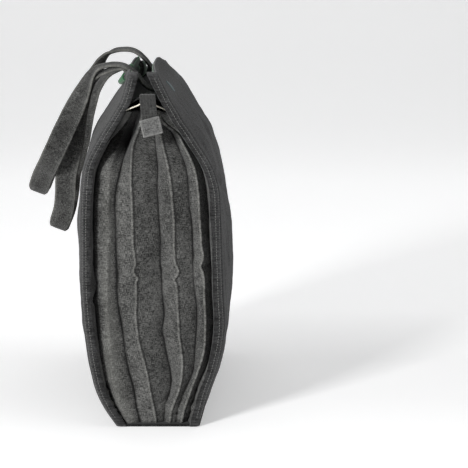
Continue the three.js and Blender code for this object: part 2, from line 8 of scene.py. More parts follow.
import bmesh
import bpy
import numpy as np
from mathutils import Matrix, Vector


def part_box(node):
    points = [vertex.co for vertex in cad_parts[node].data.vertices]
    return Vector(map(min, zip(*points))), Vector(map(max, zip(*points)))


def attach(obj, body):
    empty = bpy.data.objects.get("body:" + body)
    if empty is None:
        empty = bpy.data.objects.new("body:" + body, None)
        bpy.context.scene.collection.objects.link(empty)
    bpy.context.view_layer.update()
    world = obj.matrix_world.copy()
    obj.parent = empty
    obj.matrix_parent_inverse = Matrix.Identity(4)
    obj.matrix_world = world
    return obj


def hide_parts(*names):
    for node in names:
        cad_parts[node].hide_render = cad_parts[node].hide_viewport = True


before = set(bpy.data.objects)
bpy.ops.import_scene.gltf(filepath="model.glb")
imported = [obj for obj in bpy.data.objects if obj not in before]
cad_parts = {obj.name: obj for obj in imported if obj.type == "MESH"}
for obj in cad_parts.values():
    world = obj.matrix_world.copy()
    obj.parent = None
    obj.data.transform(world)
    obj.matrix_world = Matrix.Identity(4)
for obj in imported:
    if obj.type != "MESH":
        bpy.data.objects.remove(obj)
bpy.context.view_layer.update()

MM = 0.001  # metres


def box_mm(node):
    """Lowest and highest corner of a CAD node, in millimetres."""
    low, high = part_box(node)
    return np.array(low) / MM, np.array(high) / MM


# Sizes taken from the frame
PANEL_WALL = 2.6
HALF_LENGTH = (box_mm("panel_left")[1][1] - box_mm("panel_left")[0][1] - PANEL_WALL) / 2
GUSSET_TOP = box_mm("gusset_front")[1][2]
GUSSET_TOP_SHARE = 0.89
BAG_HEIGHT = GUSSET_TOP / GUSSET_TOP_SHARE

# Sizes of the pieces, the same as those of the solids
HALF_WIDTH = 77.0
LINING_WALL = 1.2
GUSSET_WALL = 1.6
BASE_WALL = 3.0
CLEARANCE = 0.3
CORNER_RADIUS = 4.5
CORNER_LAP = 4.5
PLEAT_DEPTH = 26.0
FLAP_REACH = 15.0
ROOF_WALL = 1.6
ROOF_RISE = 18.0
ROOF_SAG = 10.0
ZIP_CENTRE = -7.0
ZIP_WIDTH = 16.0
ZIP_WALL = 1.4
ZIP_SLOT = 5.0
TAIL_DROP = 26.0
TAIL_REACH = 19.0
TAIL_DRIFT = 3.5
TAB_LENGTH = 17.0
TAB_WIDTH = 20.0
TAB_WALL = 2.4
TAB_LAP = 3.5
TAB_LEAN = math.radians(14)
WIRE_DIAMETER = 1.7
WIRE_RISE = 12.0
WIRE_TUCK = 9.0
STRAP_WIDTH = 22.0
STRAP_WALL = 3.0
ATTACH_SPREAD = 105.0
FOLD_RADIUS = 12.0
LOBE_REACH = 11.0
LOBE_DROP = 15.5
BACK_SAG = 13.0  # of the top edge at the back
BACK_TAPER = 5.0  # how much nearer each wall comes at the back

# Finer shape of the pieces
LOBE_NECK = 0.91  # share of the height where the top edge first leans in
LOBE_TIP = 0.955  # share of the height where it curls out
LOBE_WIDTH = 26.0  # on the side of the bag's end
LOBE_INNER_WIDTH = 11.0  # on the side of its middle
SAG_START = 0.9  # share of the height above which the edge sags
CORNER_DROP = 8.0  # of the top edge at its back corners
CORNER_RUN = 40.0  # length over which the corners drop
TAPER_START = (0.58, 0.7)  # shares of the height over which the taper sets in
TAPER_END = (0.8, 0.87)  # and over which it ends
STRAP_BOW = 1.6  # how far the middle of its width stands out
STRAP_TILT = 0.08  # rise toward the back, as a share of the width
TAB_THREAD = 0.95  # how far its stitches stand off its middle

FLANGE = CORNER_RADIUS + CORNER_LAP
LINING_OFFSET = PANEL_WALL / 2 + CLEARANCE + LINING_WALL / 2
STRAP_OFFSET = LINING_OFFSET + LINING_WALL / 2 + CLEARANCE + STRAP_WALL / 2
HEM_DEPTH = PANEL_WALL / 2 + CLEARANCE + GUSSET_WALL / 2
WIRE_DEPTH = HEM_DEPTH + GUSSET_WALL / 2 + CLEARANCE + WIRE_DIAMETER / 2
ROOF_INSET = WIRE_DEPTH + WIRE_DIAMETER / 2 + CLEARANCE
ROOF_SIDE = GUSSET_TOP
ROOF_TOP = ROOF_SIDE + ROOF_RISE

# Stitching
STITCH_PITCH = 2.9
STITCH_LENGTH = 2.3
STITCH_RADIUS = 0.26
FLANGE_SEAMS = (4.6, 7.8)  # of the double topstitching, from the hem's inner edge
SEAM_DEPTH = 0.16
SEAM_HALF = 0.55
TOP_SEAM = 6.0  # below a wall's top edge
TOP_SEAM_DEPTH = 0.2
TOP_SEAM_HALF = 2.0
THREAD_SINK = 0.15  # how far the middle of the thread lies under the cloth's face
PANEL_RIM_WORN = 0.1

# Body sections: height as a share of BAG_HEIGHT, then shares of HALF_WIDTH from the middle plane
SECTION_COLUMNS = ("height", "left_end", "left_middle", "right_end", "right_middle")
SECTIONS = [
    (0.0, 0.525, 0.525, 0.584, 0.584),
    (0.05, 0.69, 0.76, 0.65, 0.71),
    (0.1, 0.805, 0.92, 0.714, 0.8),
    (0.16, 0.88, 0.985, 0.818, 0.915),
    (0.27, 0.958, 1.1, 0.93, 1.005),
    (0.38, 0.998, 1.14, 0.916, 1.04),
    (0.5, 1.0, 1.145, 0.896, 1.02),
    (0.6, 0.995, 1.14, 0.883, 0.945),
    (0.68, 0.975, 1.09, 0.857, 0.87),
    (0.74, 0.935, 1.01, 0.76, 0.795),
    (0.8, 0.792, 0.93, 0.578, 0.69),
    (0.835, 0.69, 0.85, 0.47, 0.58),
    (0.86, 0.61, 0.77, 0.383, 0.48),
    (0.89, 0.52, 0.67, 0.3, 0.37),
    (0.91, 0.46, 0.6, 0.24, 0.28),
    (0.955, 0.383, 0.475, 0.13, 0.16),
    (1.0, 0.334, 0.39, 0.026, -0.075),
]

# Folds of a gusset: valleys v and ridges r as shares of HALF_WIDTH, their depths as shares of
# PLEAT_DEPTH, and the reach of the shoulder flaps in FLAP_REACH
FOLD_COLUMNS = (
    "height", "v0", "r1", "v1", "r2", "v2", "r3", "v3", "r4", "v4",
    "crest", "valley", "soft", "flap_left", "flap_right",
)
FOLDS = [
    (0.0, -0.42, -0.35, -0.22, 0.0, 0.1, 0.18, 0.26, 0.34, 0.43, 0.3, 0.6, 0.3, 0, 0),
    (0.05, -0.585, -0.48, -0.27, -0.03, 0.13, 0.22, 0.31, 0.39, 0.5, 0.14, 0.8, 0.25, 0, 0),
    (0.1, -0.675, -0.55, -0.31, -0.08, 0.19, 0.31, 0.41, 0.48, 0.58, 0.12, 0.95, 0.28, 0, 0),
    (0.16, -0.75, -0.61, -0.39, -0.14, 0.17, 0.365, 0.51, 0.585, 0.7, 0.12, 1.0, 0.3, 0, 0),
    (0.27, -0.82, -0.64, -0.48, -0.25, 0.1, 0.33, 0.56, 0.69, 0.8, 0.1, 1.0, 0.32, 0, 0),
    (0.38, -0.86, -0.66, -0.53, -0.265, 0.09, 0.3, 0.545, 0.675, 0.785, 0.1, 1.0, 0.32, 0, 0),
    (0.5, -0.865, -0.65, -0.55, -0.285, 0.07, 0.27, 0.513, 0.625, 0.76, 0.1, 1.0, 0.34, 0, 0),
    (0.6, -0.86, -0.64, -0.55, -0.3, 0.058, 0.245, 0.487, 0.605, 0.74, 0.1, 1.0, 0.38, 0, 0),
    (0.68, -0.84, -0.62, -0.52, -0.33, 0.026, 0.214, 0.455, 0.58, 0.71, 0.12, 1.0, 0.46, 0, 0),
    (0.74, -0.79, -0.6, -0.455, -0.33, 0.023, 0.18, 0.41, 0.52, 0.63, 0.14, 1.0, 0.6, 0, 0),
    (0.8, -0.66, -0.5, -0.36, -0.27, 0.02, 0.12, 0.29, 0.38, 0.46, 0.18, 1.0, 0.75, 0, 0),
    (0.835, -0.56, -0.43, -0.31, -0.21, 0.0, 0.08, 0.2, 0.275, 0.36, 0.24, 1.0, 0.8, 0.33, 0.04),
    (0.86, -0.48, -0.37, -0.28, -0.18, -0.06, 0.02, 0.07, 0.115, 0.26, 0.34, 1.0, 0.8, 0.45, 0.43),
    (0.89, -0.39, -0.29, -0.22, -0.145, -0.085, -0.025, 0.025, 0.08, 0.21, 0.55, 1.05, 0.75, 0.45, 0.55),
]

# Course of each handle's strap, from the top edge to the end of the loop. The columns are the spread
# in ATTACH_SPREAD, the way in the handle's reach to the left, the height in BAG_HEIGHT, and the turn
# of the strap's width
RIGHT_REACH = 141.0
RIGHT_RISE = 2.0
RIGHT_COURSE = [
    (1.0, 0.035, 0.942, 0),
    (1.0, 0.1, 0.956, 0),
    (1.0, 0.15, 0.98, 0),
    (1.0, 0.2, 0.997, 0),
    (1.0, 0.26, 1.009, 0),
    (1.0, 0.33, 1.012, 0),
    (1.0, 0.4, 1.009, 0),
    (0.99, 0.462, 1.0, 8),
    (0.97, 0.51, 0.981, 20),
    (0.945, 0.552, 0.953, 36),
    (0.93, 0.6, 0.916, 55),
    (0.89, 0.664, 0.867, 72),
    (0.81, 0.739, 0.811, 82),
    (0.69, 0.811, 0.755, 87),
    (0.5, 0.884, 0.701, 90),
    (0.24, 0.953, 0.651, 90),
]
LEFT_REACH = 117.5
LEFT_RISE = -6.5
LEFT_COURSE = [
    (1.0, 0.31, 0.9775, 0),
    (1.0, 0.383, 0.976, 0),
    (1.0, 0.46, 0.969, 0),
    (0.91, 0.545, 0.955, 4),
    (0.81, 0.612, 0.935, 8),
    (0.74, 0.665, 0.912, 20),
    (0.69, 0.715, 0.882, 38),
    (0.63, 0.757, 0.846, 52),
    (0.57, 0.79, 0.803, 63),
    (0.5, 0.82, 0.753, 72),
    (0.42, 0.862, 0.705, 78),
    (0.33, 0.903, 0.651, 82),
    (0.23, 0.919, 0.592, 86),
    (0.13, 0.952, 0.54, 90),
]


# Small mathematical helpers
def smoothstep(x, low, high):
    part = np.clip((x - low) / (high - low), 0, 1)
    return part * part * (3 - 2 * part)


def mix(a, b, part):
    return a + (b - a) * part


def curve(xs, ys):
    """A smooth function through the points (xs, ys). ys may be numbers or points."""
    xs = np.asarray(xs, float)
    ys = np.asarray(ys, float)
    slopes = np.gradient(ys, xs, axis=0)

    def at(x):
        x = np.clip(np.asarray(x, float), xs[0], xs[-1])
        k = np.clip(np.searchsorted(xs, x, side="right") - 1, 0, len(xs) - 2)
        step = xs[k + 1] - xs[k]
        t = (x - xs[k]) / step
        if ys.ndim > 1:
            step, t = step[..., None], t[..., None]
        start = (2 * t**3 - 3 * t**2 + 1) * ys[k] + (t**3 - 2 * t**2 + t) * step * slopes[k]
        end = (3 * t**2 - 2 * t**3) * ys[k + 1] + (t**3 - t**2) * step * slopes[k + 1]
        return start + end

    return at


def columns(table, names):
    """The curve of each named column of a table against its height."""
    heights = [row[0] for row in table]
    return {name: curve(heights, [row[k] for row in table]) for k, name in enumerate(names)}


def ripples(a, b, size, seed, waves=26):
    """Smooth random relief between about -1 and 1, with features of that size."""
    draw = np.random.default_rng(seed)
    total = np.zeros(np.broadcast(a, b).shape)
    for _ in range(waves):
        angle = draw.uniform(0, 2 * math.pi)
        pitch = 2 * math.pi / (size * draw.uniform(0.7, 2.2))
        phase = draw.uniform(0, 2 * math.pi)
        total += np.sin(pitch * (a * math.cos(angle) + b * math.sin(angle)) + phase)
    return total / math.sqrt(waves)


def bump_at(x, centre, width):
    """A smooth hump of height 1."""
    return np.exp(-(((x - centre) / width) ** 2))


def travel(points):
    """Distance travelled along a line of points, at each point."""
    return np.concatenate([[0], np.cumsum(np.linalg.norm(np.diff(points, axis=0), axis=1))])


def unit(v):
    return v / np.maximum(np.linalg.norm(v, axis=-1, keepdims=True), 1e-9)


body = columns(SECTIONS, SECTION_COLUMNS)
pleats = columns(FOLDS, FOLD_COLUMNS)


# Shape of the two walls
LEFT = {"sign": -1, "end": body["left_end"], "middle": body["left_middle"], "lobe": 1, "seed": 11}
RIGHT = {"sign": 1, "end": body["right_end"], "middle": body["right_middle"], "lobe": 0, "seed": 23}


def toward_back(y):
    """0 along the front of the bag, rising to 1 at its back end."""
    return smoothstep(y, 0.15 * HALF_LENGTH, HALF_LENGTH)


def wall_distance(side, y, share):
    """How far a wall stands from the middle plane, at a share of the bag's height."""
    swell = 1 - (y / HALF_LENGTH) ** 2
    across = mix(side["end"](share), side["middle"](share), swell)
    tapered = smoothstep(share, *TAPER_START) - smoothstep(share, *TAPER_END)
    return HALF_WIDTH * across - BACK_TAPER * toward_back(y) * tapered


def wall_point(side, y, share):
    """A point of a wall's middle surface, with the lobes and the sag of its top edge."""
    across = wall_distance(side, y, share)
    off = np.abs(y) - ATTACH_SPREAD
    lobe = side["lobe"] * bump_at(off, 0, np.where(off > 0, LOBE_WIDTH, LOBE_INNER_WIDTH))
    tip = smoothstep(share, LOBE_TIP, 1)
    neck = smoothstep(share, LOBE_NECK, LOBE_TIP) * (1 - tip)
    outward = lobe * (tip * LOBE_REACH - neck * LOBE_REACH / 4)
    upward = lobe * (neck * LOBE_DROP / 3 - tip * LOBE_DROP)
    corner = smoothstep(y, HALF_LENGTH - CORNER_RUN, HALF_LENGTH)
    lowered = (BACK_SAG * toward_back(y) + CORNER_DROP * corner) * smoothstep(share, SAG_START, 1)
    x = side["sign"] * (across + outward)
    z = share * BAG_HEIGHT + upward - lowered
    return np.stack(np.broadcast_arrays(x, y, z), axis=-1)


def grid_normals(rows):
    return unit(np.cross(np.gradient(rows, axis=0), np.gradient(rows, axis=1)))


def outer_normals(rows, side):
    """Normals of a grid on a wall, turned away from the bag's middle plane."""
    normal = grid_normals(rows)
    return normal * np.sign(normal[0, 0, 0] * side["sign"])


# Ripples of the walls' cloth: their height and size in millimetres, and how much they stretch upward
WALL_RIPPLES = [(1.1, 75, 1.0), (0.5, 30, 0.6), (0.16, 11, 1.0)]
DRAG_HEIGHT = 0.6  # of the fine folds that run down from each strap
DRAG_PITCH = 6.5
DRAG_REACH = 45.0
CREASE_DEPTH = 3.5  # of the slanting crease across the right wall's front shoulder
CREASE_HALF = 7.0
CREASE_SHARE = 0.735  # its height at the front


def cloth_relief(side, y, share):
    """How far a wall's cloth stands out of or into its smooth shape, away from its seams."""
    z = share * BAG_HEIGHT
    relief = 0
    for k, (height, size, stretch) in enumerate(WALL_RIPPLES):
        relief = relief + height * ripples(y, z * stretch, size, side["seed"] + k)
    beside = np.abs(np.abs(y) - ATTACH_SPREAD)
    drag = DRAG_HEIGHT * np.sin((beside + 0.35 * (BAG_HEIGHT - z)) / DRAG_PITCH)
    relief = relief + drag * smoothstep(share, 0.72, 0.86) * bump_at(beside, 0, DRAG_REACH)
    if side is RIGHT:
        slanted = z + 0.25 * (y + HALF_LENGTH)
        crease = bump_at(slanted, CREASE_SHARE * BAG_HEIGHT, CREASE_HALF) * smoothstep(-y, -60, 20)
        relief = relief - CREASE_DEPTH * crease
    near_roof = smoothstep(share, 0.8, 0.85)
    relief = mix(relief, np.abs(relief) * 0.5, near_roof)
    edge = smoothstep(HALF_LENGTH - np.abs(y), 6, 26)
    return relief * edge * smoothstep(share, 0.0, 0.06) * (1 - 0.92 * smoothstep(share, 0.88, 0.97))


PANEL_ROWS = 132
PANEL_FLAT = 118  # columns between the corners
PANEL_CORNER = 6  # columns round each corner
PANEL_HEM = 10  # columns of each hem
HEM_WAVE = 0.45  # how far a hem's inner edge wanders
HEM_WAVE_SIZE = 38
FAR = 1e3  # stands for a distance beyond any that counts


def panel_rows(side):
    """Middle surface of a wall, row by row from the floor up, from its front hem to its back hem."""
    share = np.linspace(PANEL_WALL / 2 / BAG_HEIGHT, 1, PANEL_ROWS)[:, None]
    straight = HALF_LENGTH - CORNER_RADIUS
    angle = np.linspace(0, math.pi / 2, PANEL_CORNER, endpoint=False)
    hem = np.linspace(0, CORNER_LAP, PANEL_HEM, endpoint=False)
    parts = []
    for end in (-1, 1):
        edge = wall_point(side, np.array([[end * HALF_LENGTH]]), share)
        inward = np.concatenate([FLANGE - hem, CORNER_RADIUS * (1 - np.sin(angle))])
        back = np.concatenate([0 * hem, CORNER_RADIUS * (1 - np.cos(angle))])
        wave = HEM_WAVE * ripples(share * BAG_HEIGHT, 0, HEM_WAVE_SIZE, side["seed"] + 5 + end)
        hemmed = smoothstep(inward, CORNER_RADIUS, FLANGE)
        part = np.repeat(edge, len(inward), axis=1)
        part[..., 0] -= side["sign"] * (inward + wave * hemmed)
        part[..., 1] = end * (HALF_LENGTH - back)
        parts.append(part)
    y = np.linspace(-straight, straight, PANEL_FLAT)[None, :]
    flat = wall_point(side, y, share)
    flat = flat + outer_normals(flat, side) * cloth_relief(side, y, share)[..., None]
    return np.concatenate([parts[0], flat, parts[1][:, ::-1]], axis=1)


# Meshes
UV_SCALE = 10  # cloth coordinates for each metre
RIM_ROUND = 0.7  # how far a rim stands out, as a share of half the wall


def along_lengths(rows):
    """Cloth coordinates of a grid in millimetres: across from each row's middle, and up."""
    steps = np.linalg.norm(np.diff(rows, axis=1), axis=2)
    across = np.concatenate([np.zeros((len(rows), 1)), np.cumsum(steps, axis=1)], axis=1)
    across -= across[:, -1:] / 2
    rise = np.linalg.norm(np.diff(rows, axis=0), axis=2).mean(axis=1)
    up = np.concatenate([[0], np.cumsum(rise)])
    return across, np.repeat(up[:, None], rows.shape[1], axis=1)


def new_mesh(name, points, faces, uv=None, edge=None):
    """A shown piece from points in millimetres, with cloth coordinates and each point's wear and painted
    light and shade.
    """
    mesh = bpy.data.meshes.new(name)
    mesh.from_pydata((np.asarray(points) * MM).tolist(), [], faces)
    work = bmesh.new()
    work.from_mesh(mesh)
    bmesh.ops.recalc_face_normals(work, faces=work.faces)
    work.to_mesh(mesh)
    work.free()
    if uv is not None:
        layer = mesh.uv_layers.new(name="cloth")
        corners = np.zeros(len(mesh.loops), dtype=np.int32)
        mesh.loops.foreach_get("vertex_index", corners)
        layer.data.foreach_set("uv", (np.asarray(uv)[corners] * MM * UV_SCALE).astype(np.float32).ravel())
    wear_and_shading = mesh.attributes.new("wear_and_shading", "FLOAT", "POINT")
    values = np.zeros(len(points)) if edge is None else edge
    wear_and_shading.data.foreach_set("value", np.asarray(values, dtype=np.float32))
    mesh.polygons.foreach_set("use_smooth", [True] * len(mesh.polygons))
    piece = bpy.data.objects.new(name, mesh)
    bpy.context.scene.collection.objects.link(piece)
    return piece


def grid_faces(m, n):
    """Four-sided faces of m rows of n points."""
    i, j = np.meshgrid(np.arange(m - 1), np.arange(n - 1), indexing="ij")
    a = (i * n + j).ravel()
    return np.stack([a, a + 1, a + n + 1, a + n], axis=1)


def ring_faces(rings, sides, base=0):
    """Faces between rings of points."""
    places = [(base + r * sides, j, (j + 1) % sides) for r in range(rings - 1) for j in range(sides)]
    return [(a + j, a + k, a + sides + k, a + sides + j) for a, j, k in places]


def tube_faces(rings, sides, base=0):
    """Faces of a closed tube, whose two end points follow its rings."""
    faces = ring_faces(rings, sides, base)
    tip = base + rings * sides
    for j in range(sides):
        k = (j + 1) % sides
        faces.append((tip, base + k, base + j))
        faces.append((tip + 1, tip - sides + j, tip - sides + k))
    return faces


def sheet_mesh(name, rows, wall, edge=None, relief=None, rim_worn=0.55, back_wear_and_shading=0.3):
    """A closed sheet round a grid of points, with rounded rims. relief lifts its front face only.

    edge is the front face's wear and painted light and shade, and the last argument the share of it on the
    back face.
    """
    m, n = rows.shape[:2]
    normal = grid_normals(rows)
    half = np.broadcast_to(np.asarray(wall, float) / 2, (m, n))[..., None]
    lift = 0 if relief is None else np.asarray(relief)[..., None]
    front = rows + normal * (half + lift)
    back = rows - normal * half
    ring = [(0, j) for j in range(n)] + [(i, n - 1) for i in range(1, m)]
    ring += [(m - 1, j) for j in range(n - 2, -1, -1)] + [(i, 0) for i in range(m - 2, 0, -1)]
    ri = np.array([i for i, _ in ring])
    rj = np.array([j for _, j in ring])
    outward = unit(rows[ri, rj] - rows[np.clip(ri, 1, m - 2), np.clip(rj, 1, n - 2)])
    rim = rows[ri, rj] + outward * half[ri, rj] * RIM_ROUND
    points = np.concatenate([front.reshape(-1, 3), back.reshape(-1, 3), rim])
    quads = grid_faces(m, n)
    at = ri * n + rj
    q = 2 * m * n + np.arange(len(ring))
    nxt = np.roll(at, -1)
    qn = np.roll(q, -1)
    rim_front = np.stack([nxt, at, q, qn], axis=1)
    rim_back = np.stack([qn, q, at + m * n, nxt + m * n], axis=1)
    faces = np.concatenate([quads, quads[:, ::-1] + m * n, rim_front, rim_back])
    across, up = along_lengths(rows)
    uv = np.stack([across.ravel(), up.ravel()], axis=1)
    uv = np.concatenate([uv, uv, uv[at]])
    wear_and_shading = np.zeros((m, n)) if edge is None else np.broadcast_to(edge, (m, n))
    wear_and_shading = np.concatenate([wear_and_shading.ravel(), wear_and_shading.ravel() * back_wear_and_shading, np.maximum(wear_and_shading[ri, rj], rim_worn)])
    return new_mesh(name, points, faces.tolist(), uv, wear_and_shading)


def tube_mesh(name, path, radius, sides=12):
    """A closed round tube along points in millimetres."""
    along = unit(np.gradient(path, axis=0))
    aside = unit(np.cross(along, np.array([0.0, 1.0, 0.0])))
    third = np.cross(along, aside)
    angle = np.linspace(0, 2 * math.pi, sides, endpoint=False)[None, :, None]
    rings = path[:, None] + radius * (aside[:, None] * np.cos(angle) + third[:, None] * np.sin(angle))
    points = np.concatenate([rings.reshape(-1, 3), path[:1], path[-1:]])
    return new_mesh(name, points, tube_faces(len(path), sides))


# One stitch: rings across its length, as a part of the length and a part of the radius
STITCH_RINGS = [(-0.38, 0.75), (0.0, 1.0), (0.38, 0.75)]
STITCH_SIDES = 6
STITCH_DIP = 0.1  # how far its two ends go into the cloth


def evenly(points, step):
    """Even steps along a line of points: the index that each falls after, and how far on it lies."""
    length = travel(points)
    count = max(int(length[-1] / step), 2)
    places = np.linspace(0, length[-1], count + 1)
    where = np.interp((places[1:] + places[:-1]) / 2, length, np.arange(len(points)))
    low = np.minimum(where.astype(int), len(points) - 2)
    part = (where - low)[:, None]
    return low, part


def stitches(name, lines):
    """Thread along lines. Each line is (points on the cloth, outward normals), in millimetres."""
    points, faces = [], []
    for line, normals in lines:
        low, part = evenly(line, STITCH_PITCH)
        centre = mix(line[low], line[low + 1], part)
        along = unit(line[low + 1] - line[low])
        up = unit(normals[low])
        aside = np.cross(along, up)
        for c, d, u, s in zip(centre, along, up, aside):
            faces += tube_faces(len(STITCH_RINGS), STITCH_SIDES, len(points))
            for at, size in STITCH_RINGS:
                for k in range(STITCH_SIDES):
                    turn = 2 * math.pi * k / STITCH_SIDES
                    around = s * math.cos(turn) * 1.25 + u * (math.sin(turn) * 0.9 + 0.25)
                    points.append(c + d * at * STITCH_LENGTH + around * STITCH_RADIUS * size)
            for end in (-0.5, 0.5):
                points.append(c + d * end * STITCH_LENGTH - u * STITCH_DIP)
    return new_mesh(name, np.array(points), faces)


# Materials
def material(name):
    made = bpy.data.materials.new(name)
    made.use_nodes = True
    tree = made.node_tree
    shader = tree.nodes["Principled BSDF"]
    return made, tree, shader


def fill(tree, made, inputs):
    """Links or sets inputs of a node, each given by its name or number."""
    for key, value in inputs.items():
        if isinstance(value, bpy.types.NodeSocket):
            tree.links.new(value, made.inputs[key])
        else:
            made.inputs[key].default_value = value


def node(tree, kind, inputs=None, **settings):
    made = tree.nodes.new(kind)
    for key, value in settings.items():
        setattr(made, key, value)
    fill(tree, made, inputs or {})
    return made


def object_place(tree):
    return node(tree, "ShaderNodeTexCoord").outputs["Object"]


def relief_normal(tree, height, strength, distance):
    inputs = {"Height": height, "Strength": strength, "Distance": distance}
    return node(tree, "ShaderNodeBump", inputs).outputs[0]


def maths(tree, operation, a, b=0.0):
    return node(tree, "ShaderNodeMath", {0: a, 1: b}, operation=operation).outputs[0]


def noise(tree, vector, scale, detail=2.0, roughness=0.5):
    inputs = {"Vector": vector, "Scale": scale, "Detail": detail, "Roughness": roughness}
    return node(tree, "ShaderNodeTexNoise", inputs).outputs[0]


def stretched(tree, vector, x, y):
    return node(tree, "ShaderNodeMapping", {"Vector": vector, "Scale": (x, y, 1.0)}).outputs[0]


def ramp(tree, factor, stops):
    made = node(tree, "ShaderNodeValToRGB", {0: factor})
    elements = made.color_ramp.elements
    while len(elements) < len(stops):
        elements.new(0.5)
    for element, (place, colour) in zip(elements, stops):
        element.position = place
        element.color = (*colour, 1.0)
    return made.outputs[0]


def grey(level, warm=0.0):
    return (level, level, level * (1 - warm))


def blended(tree, factor, colour, level, warm):
    """A colour that a factor turns toward a grey."""
    inputs = {0: factor, 6: colour, 7: (*grey(level, warm), 1.0)}
    return node(tree, "ShaderNodeMix", inputs, data_type="RGBA", clamp_factor=True).outputs[2]


# Threads for each unit of cloth coordinates, across and up
WARP = (175.0, 24.0)
WEFT = (24.0, 190.0)
SLUBS = (7.0, 80.0)
TWILL = (100.0, 100.0)
WEAR_AND_HIGHLIGHT_LEVEL = 1.7  # level that wear and painted highlight turn cloth toward, as a share of its light threads
PAINTED_SHADE_LEVEL = 0.25  # level of painted shade in creases, hollows and shadows, as a share of its dark threads
WEAR_AND_HIGHLIGHT_STRENGTH = 0.6  # how far wear and painted highlight turn cloth lighter


def woven(name, dark, light, warm=0.0, mottle=0.7, bump=0.35, slubs=0.2):
    """Brushed melange twill. dark and light are the levels of its threads."""
    made, tree, shader = material(name)
    cloth = node(tree, "ShaderNodeUVMap", uv_map="cloth").outputs[0]
    place = object_place(tree)
    warp = noise(tree, stretched(tree, cloth, *WARP), 1.0, 3.0, 0.65)
    weft = noise(tree, stretched(tree, cloth, *WEFT), 1.0, 3.0, 0.65)
    slub = noise(tree, stretched(tree, cloth, *SLUBS), 1.0, 2.0)
    threads = maths(tree, "MULTIPLY", maths(tree, "ADD", warp, weft), 0.5 * (1 - slubs))
    threads = maths(tree, "ADD", threads, maths(tree, "MULTIPLY", slub, slubs))
    blotch = maths(tree, "ADD", noise(tree, place, 18.0, 3.0), noise(tree, place, 90.0, 2.0))
    blotch = maths(tree, "MULTIPLY", maths(tree, "SUBTRACT", blotch, 1.0), 0.12 * mottle)
    factor = maths(tree, "ADD", threads, blotch)
    colour = ramp(tree, factor, [
        (0.38, grey(dark * 0.5, warm)),
        (0.46, grey(dark, warm)),
        (0.53, grey(mix(dark, light, 0.5), warm)),
        (0.62, grey(light, warm)),
    ])
    # The point attribute read here holds wear and painted light: above zero it lightens the cloth (wear and
    # painted highlight), below zero it darkens it (painted shade).
    edge = node(tree, "ShaderNodeAttribute", attribute_name="wear_and_shading").outputs["Fac"]
    wear_and_highlight = maths(tree, "MULTIPLY", edge, maths(tree, "MULTIPLY", threads, 2.0 * WEAR_AND_HIGHLIGHT_STRENGTH))
    lighter = blended(tree, wear_and_highlight, colour, light * WEAR_AND_HIGHLIGHT_LEVEL, 2 * warm)
    darker = blended(tree, maths(tree, "MULTIPLY", edge, -1.0), lighter, dark * PAINTED_SHADE_LEVEL, warm)
    ribs = {"Vector": stretched(tree, cloth, *TWILL), "Scale": 0.35, "Distortion": 1.2, "Detail": 1.0}
    twill = node(tree, "ShaderNodeTexWave", ribs, wave_type="BANDS", bands_direction="DIAGONAL").outputs[1]
    height = maths(tree, "ADD", threads, maths(tree, "MULTIPLY", twill, 0.3))
    fill(tree, shader, {
        "Base Color": darker,
        "Normal": relief_normal(tree, height, bump, 0.0006),
        "Roughness": 0.92,
        "Specular IOR Level": 0.12,
        "Sheen Weight": 0.12,
        "Sheen Roughness": 0.5,
    })
    return made


def felt_material(name, dark, light):
    made, tree, shader = material(name)
    place = object_place(tree)
    fibres = noise(tree, place, 900.0, 4.0, 0.7)
    cloudy = noise(tree, place, 90.0, 2.0)
    factor = maths(tree, "ADD", maths(tree, "MULTIPLY", fibres, 0.7), maths(tree, "MULTIPLY", cloudy, 0.3))
    fill(tree, shader, {
        "Base Color": ramp(tree, factor, [(0.3, dark), (0.7, light)]),
        "Normal": relief_normal(tree, fibres, 0.5, 0.0005),
        "Roughness": 1.0,
        "Specular IOR Level": 0.05,
        "Sheen Weight": 0.3,
    })
    return made


def thread_material(name, level, warm):
    made, tree, shader = material(name)
    mixed = noise(tree, object_place(tree), 1400.0, 2.0)
    colour = ramp(tree, mixed, [(0.3, grey(level * 0.7, warm)), (0.7, grey(level * 1.25, warm))])
    fill(tree, shader, {"Base Color": colour, "Roughness": 0.8})
    return made


def wire_material(name):
    made, tree, shader = material(name)
    scuffs = noise(tree, object_place(tree), 500.0, 3.0)
    colour = ramp(tree, scuffs, [(0.3, (0.62, 0.58, 0.48)), (0.75, (0.85, 0.81, 0.70))])
    rough = node(tree, "ShaderNodeMapRange", {0: scuffs, 3: 0.28, 4: 0.5}).outputs[0]
    fill(tree, shader, {"Base Color": colour, "Roughness": rough, "Metallic": 0.75})
    return made


PANEL_CLOTH = woven("panel_cloth", 0.01, 0.066, warm=-0.005, slubs=0.3)
PLEAT_CLOTH = woven("pleat_cloth", 0.016, 0.165, warm=0.04, mottle=0.9, slubs=0.12)
STRAP_CLOTH = woven("strap_cloth", 0.014, 0.115, warm=0.04, mottle=0.9, slubs=0.12)
TAB_CLOTH = woven("tab_cloth", 0.05, 0.17, warm=0.02)
# Panel cloth darkened into painted shade for the roof inside the bag's mouth
ROOF_SHADED_CLOTH = woven("roof_shaded_cloth", 0.006, 0.02)
# Panel cloth darkened into a painted contact shadow for the base
BASE_SHADED_CLOTH = woven("base_shaded_cloth", 0.005, 0.025)
ZIP_WEBBING = woven("zip_webbing", 0.021, 0.06, warm=0.02, mottle=0.2, bump=0.2)
GREEN_FELT = felt_material("green_felt", (0.012, 0.055, 0.022), (0.035, 0.14, 0.055))
TEAL_FELT = felt_material("teal_felt", (0.003, 0.022, 0.026), (0.012, 0.085, 0.09))
THREAD = thread_material("thread", 0.12, 0.04)
WIRE_METAL = wire_material("wire_metal")


def dress(piece, finish, slot, *nodes):
    piece.data.materials.append(finish)
    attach(piece, "root")
    if nodes:
        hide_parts(*nodes)
    return piece


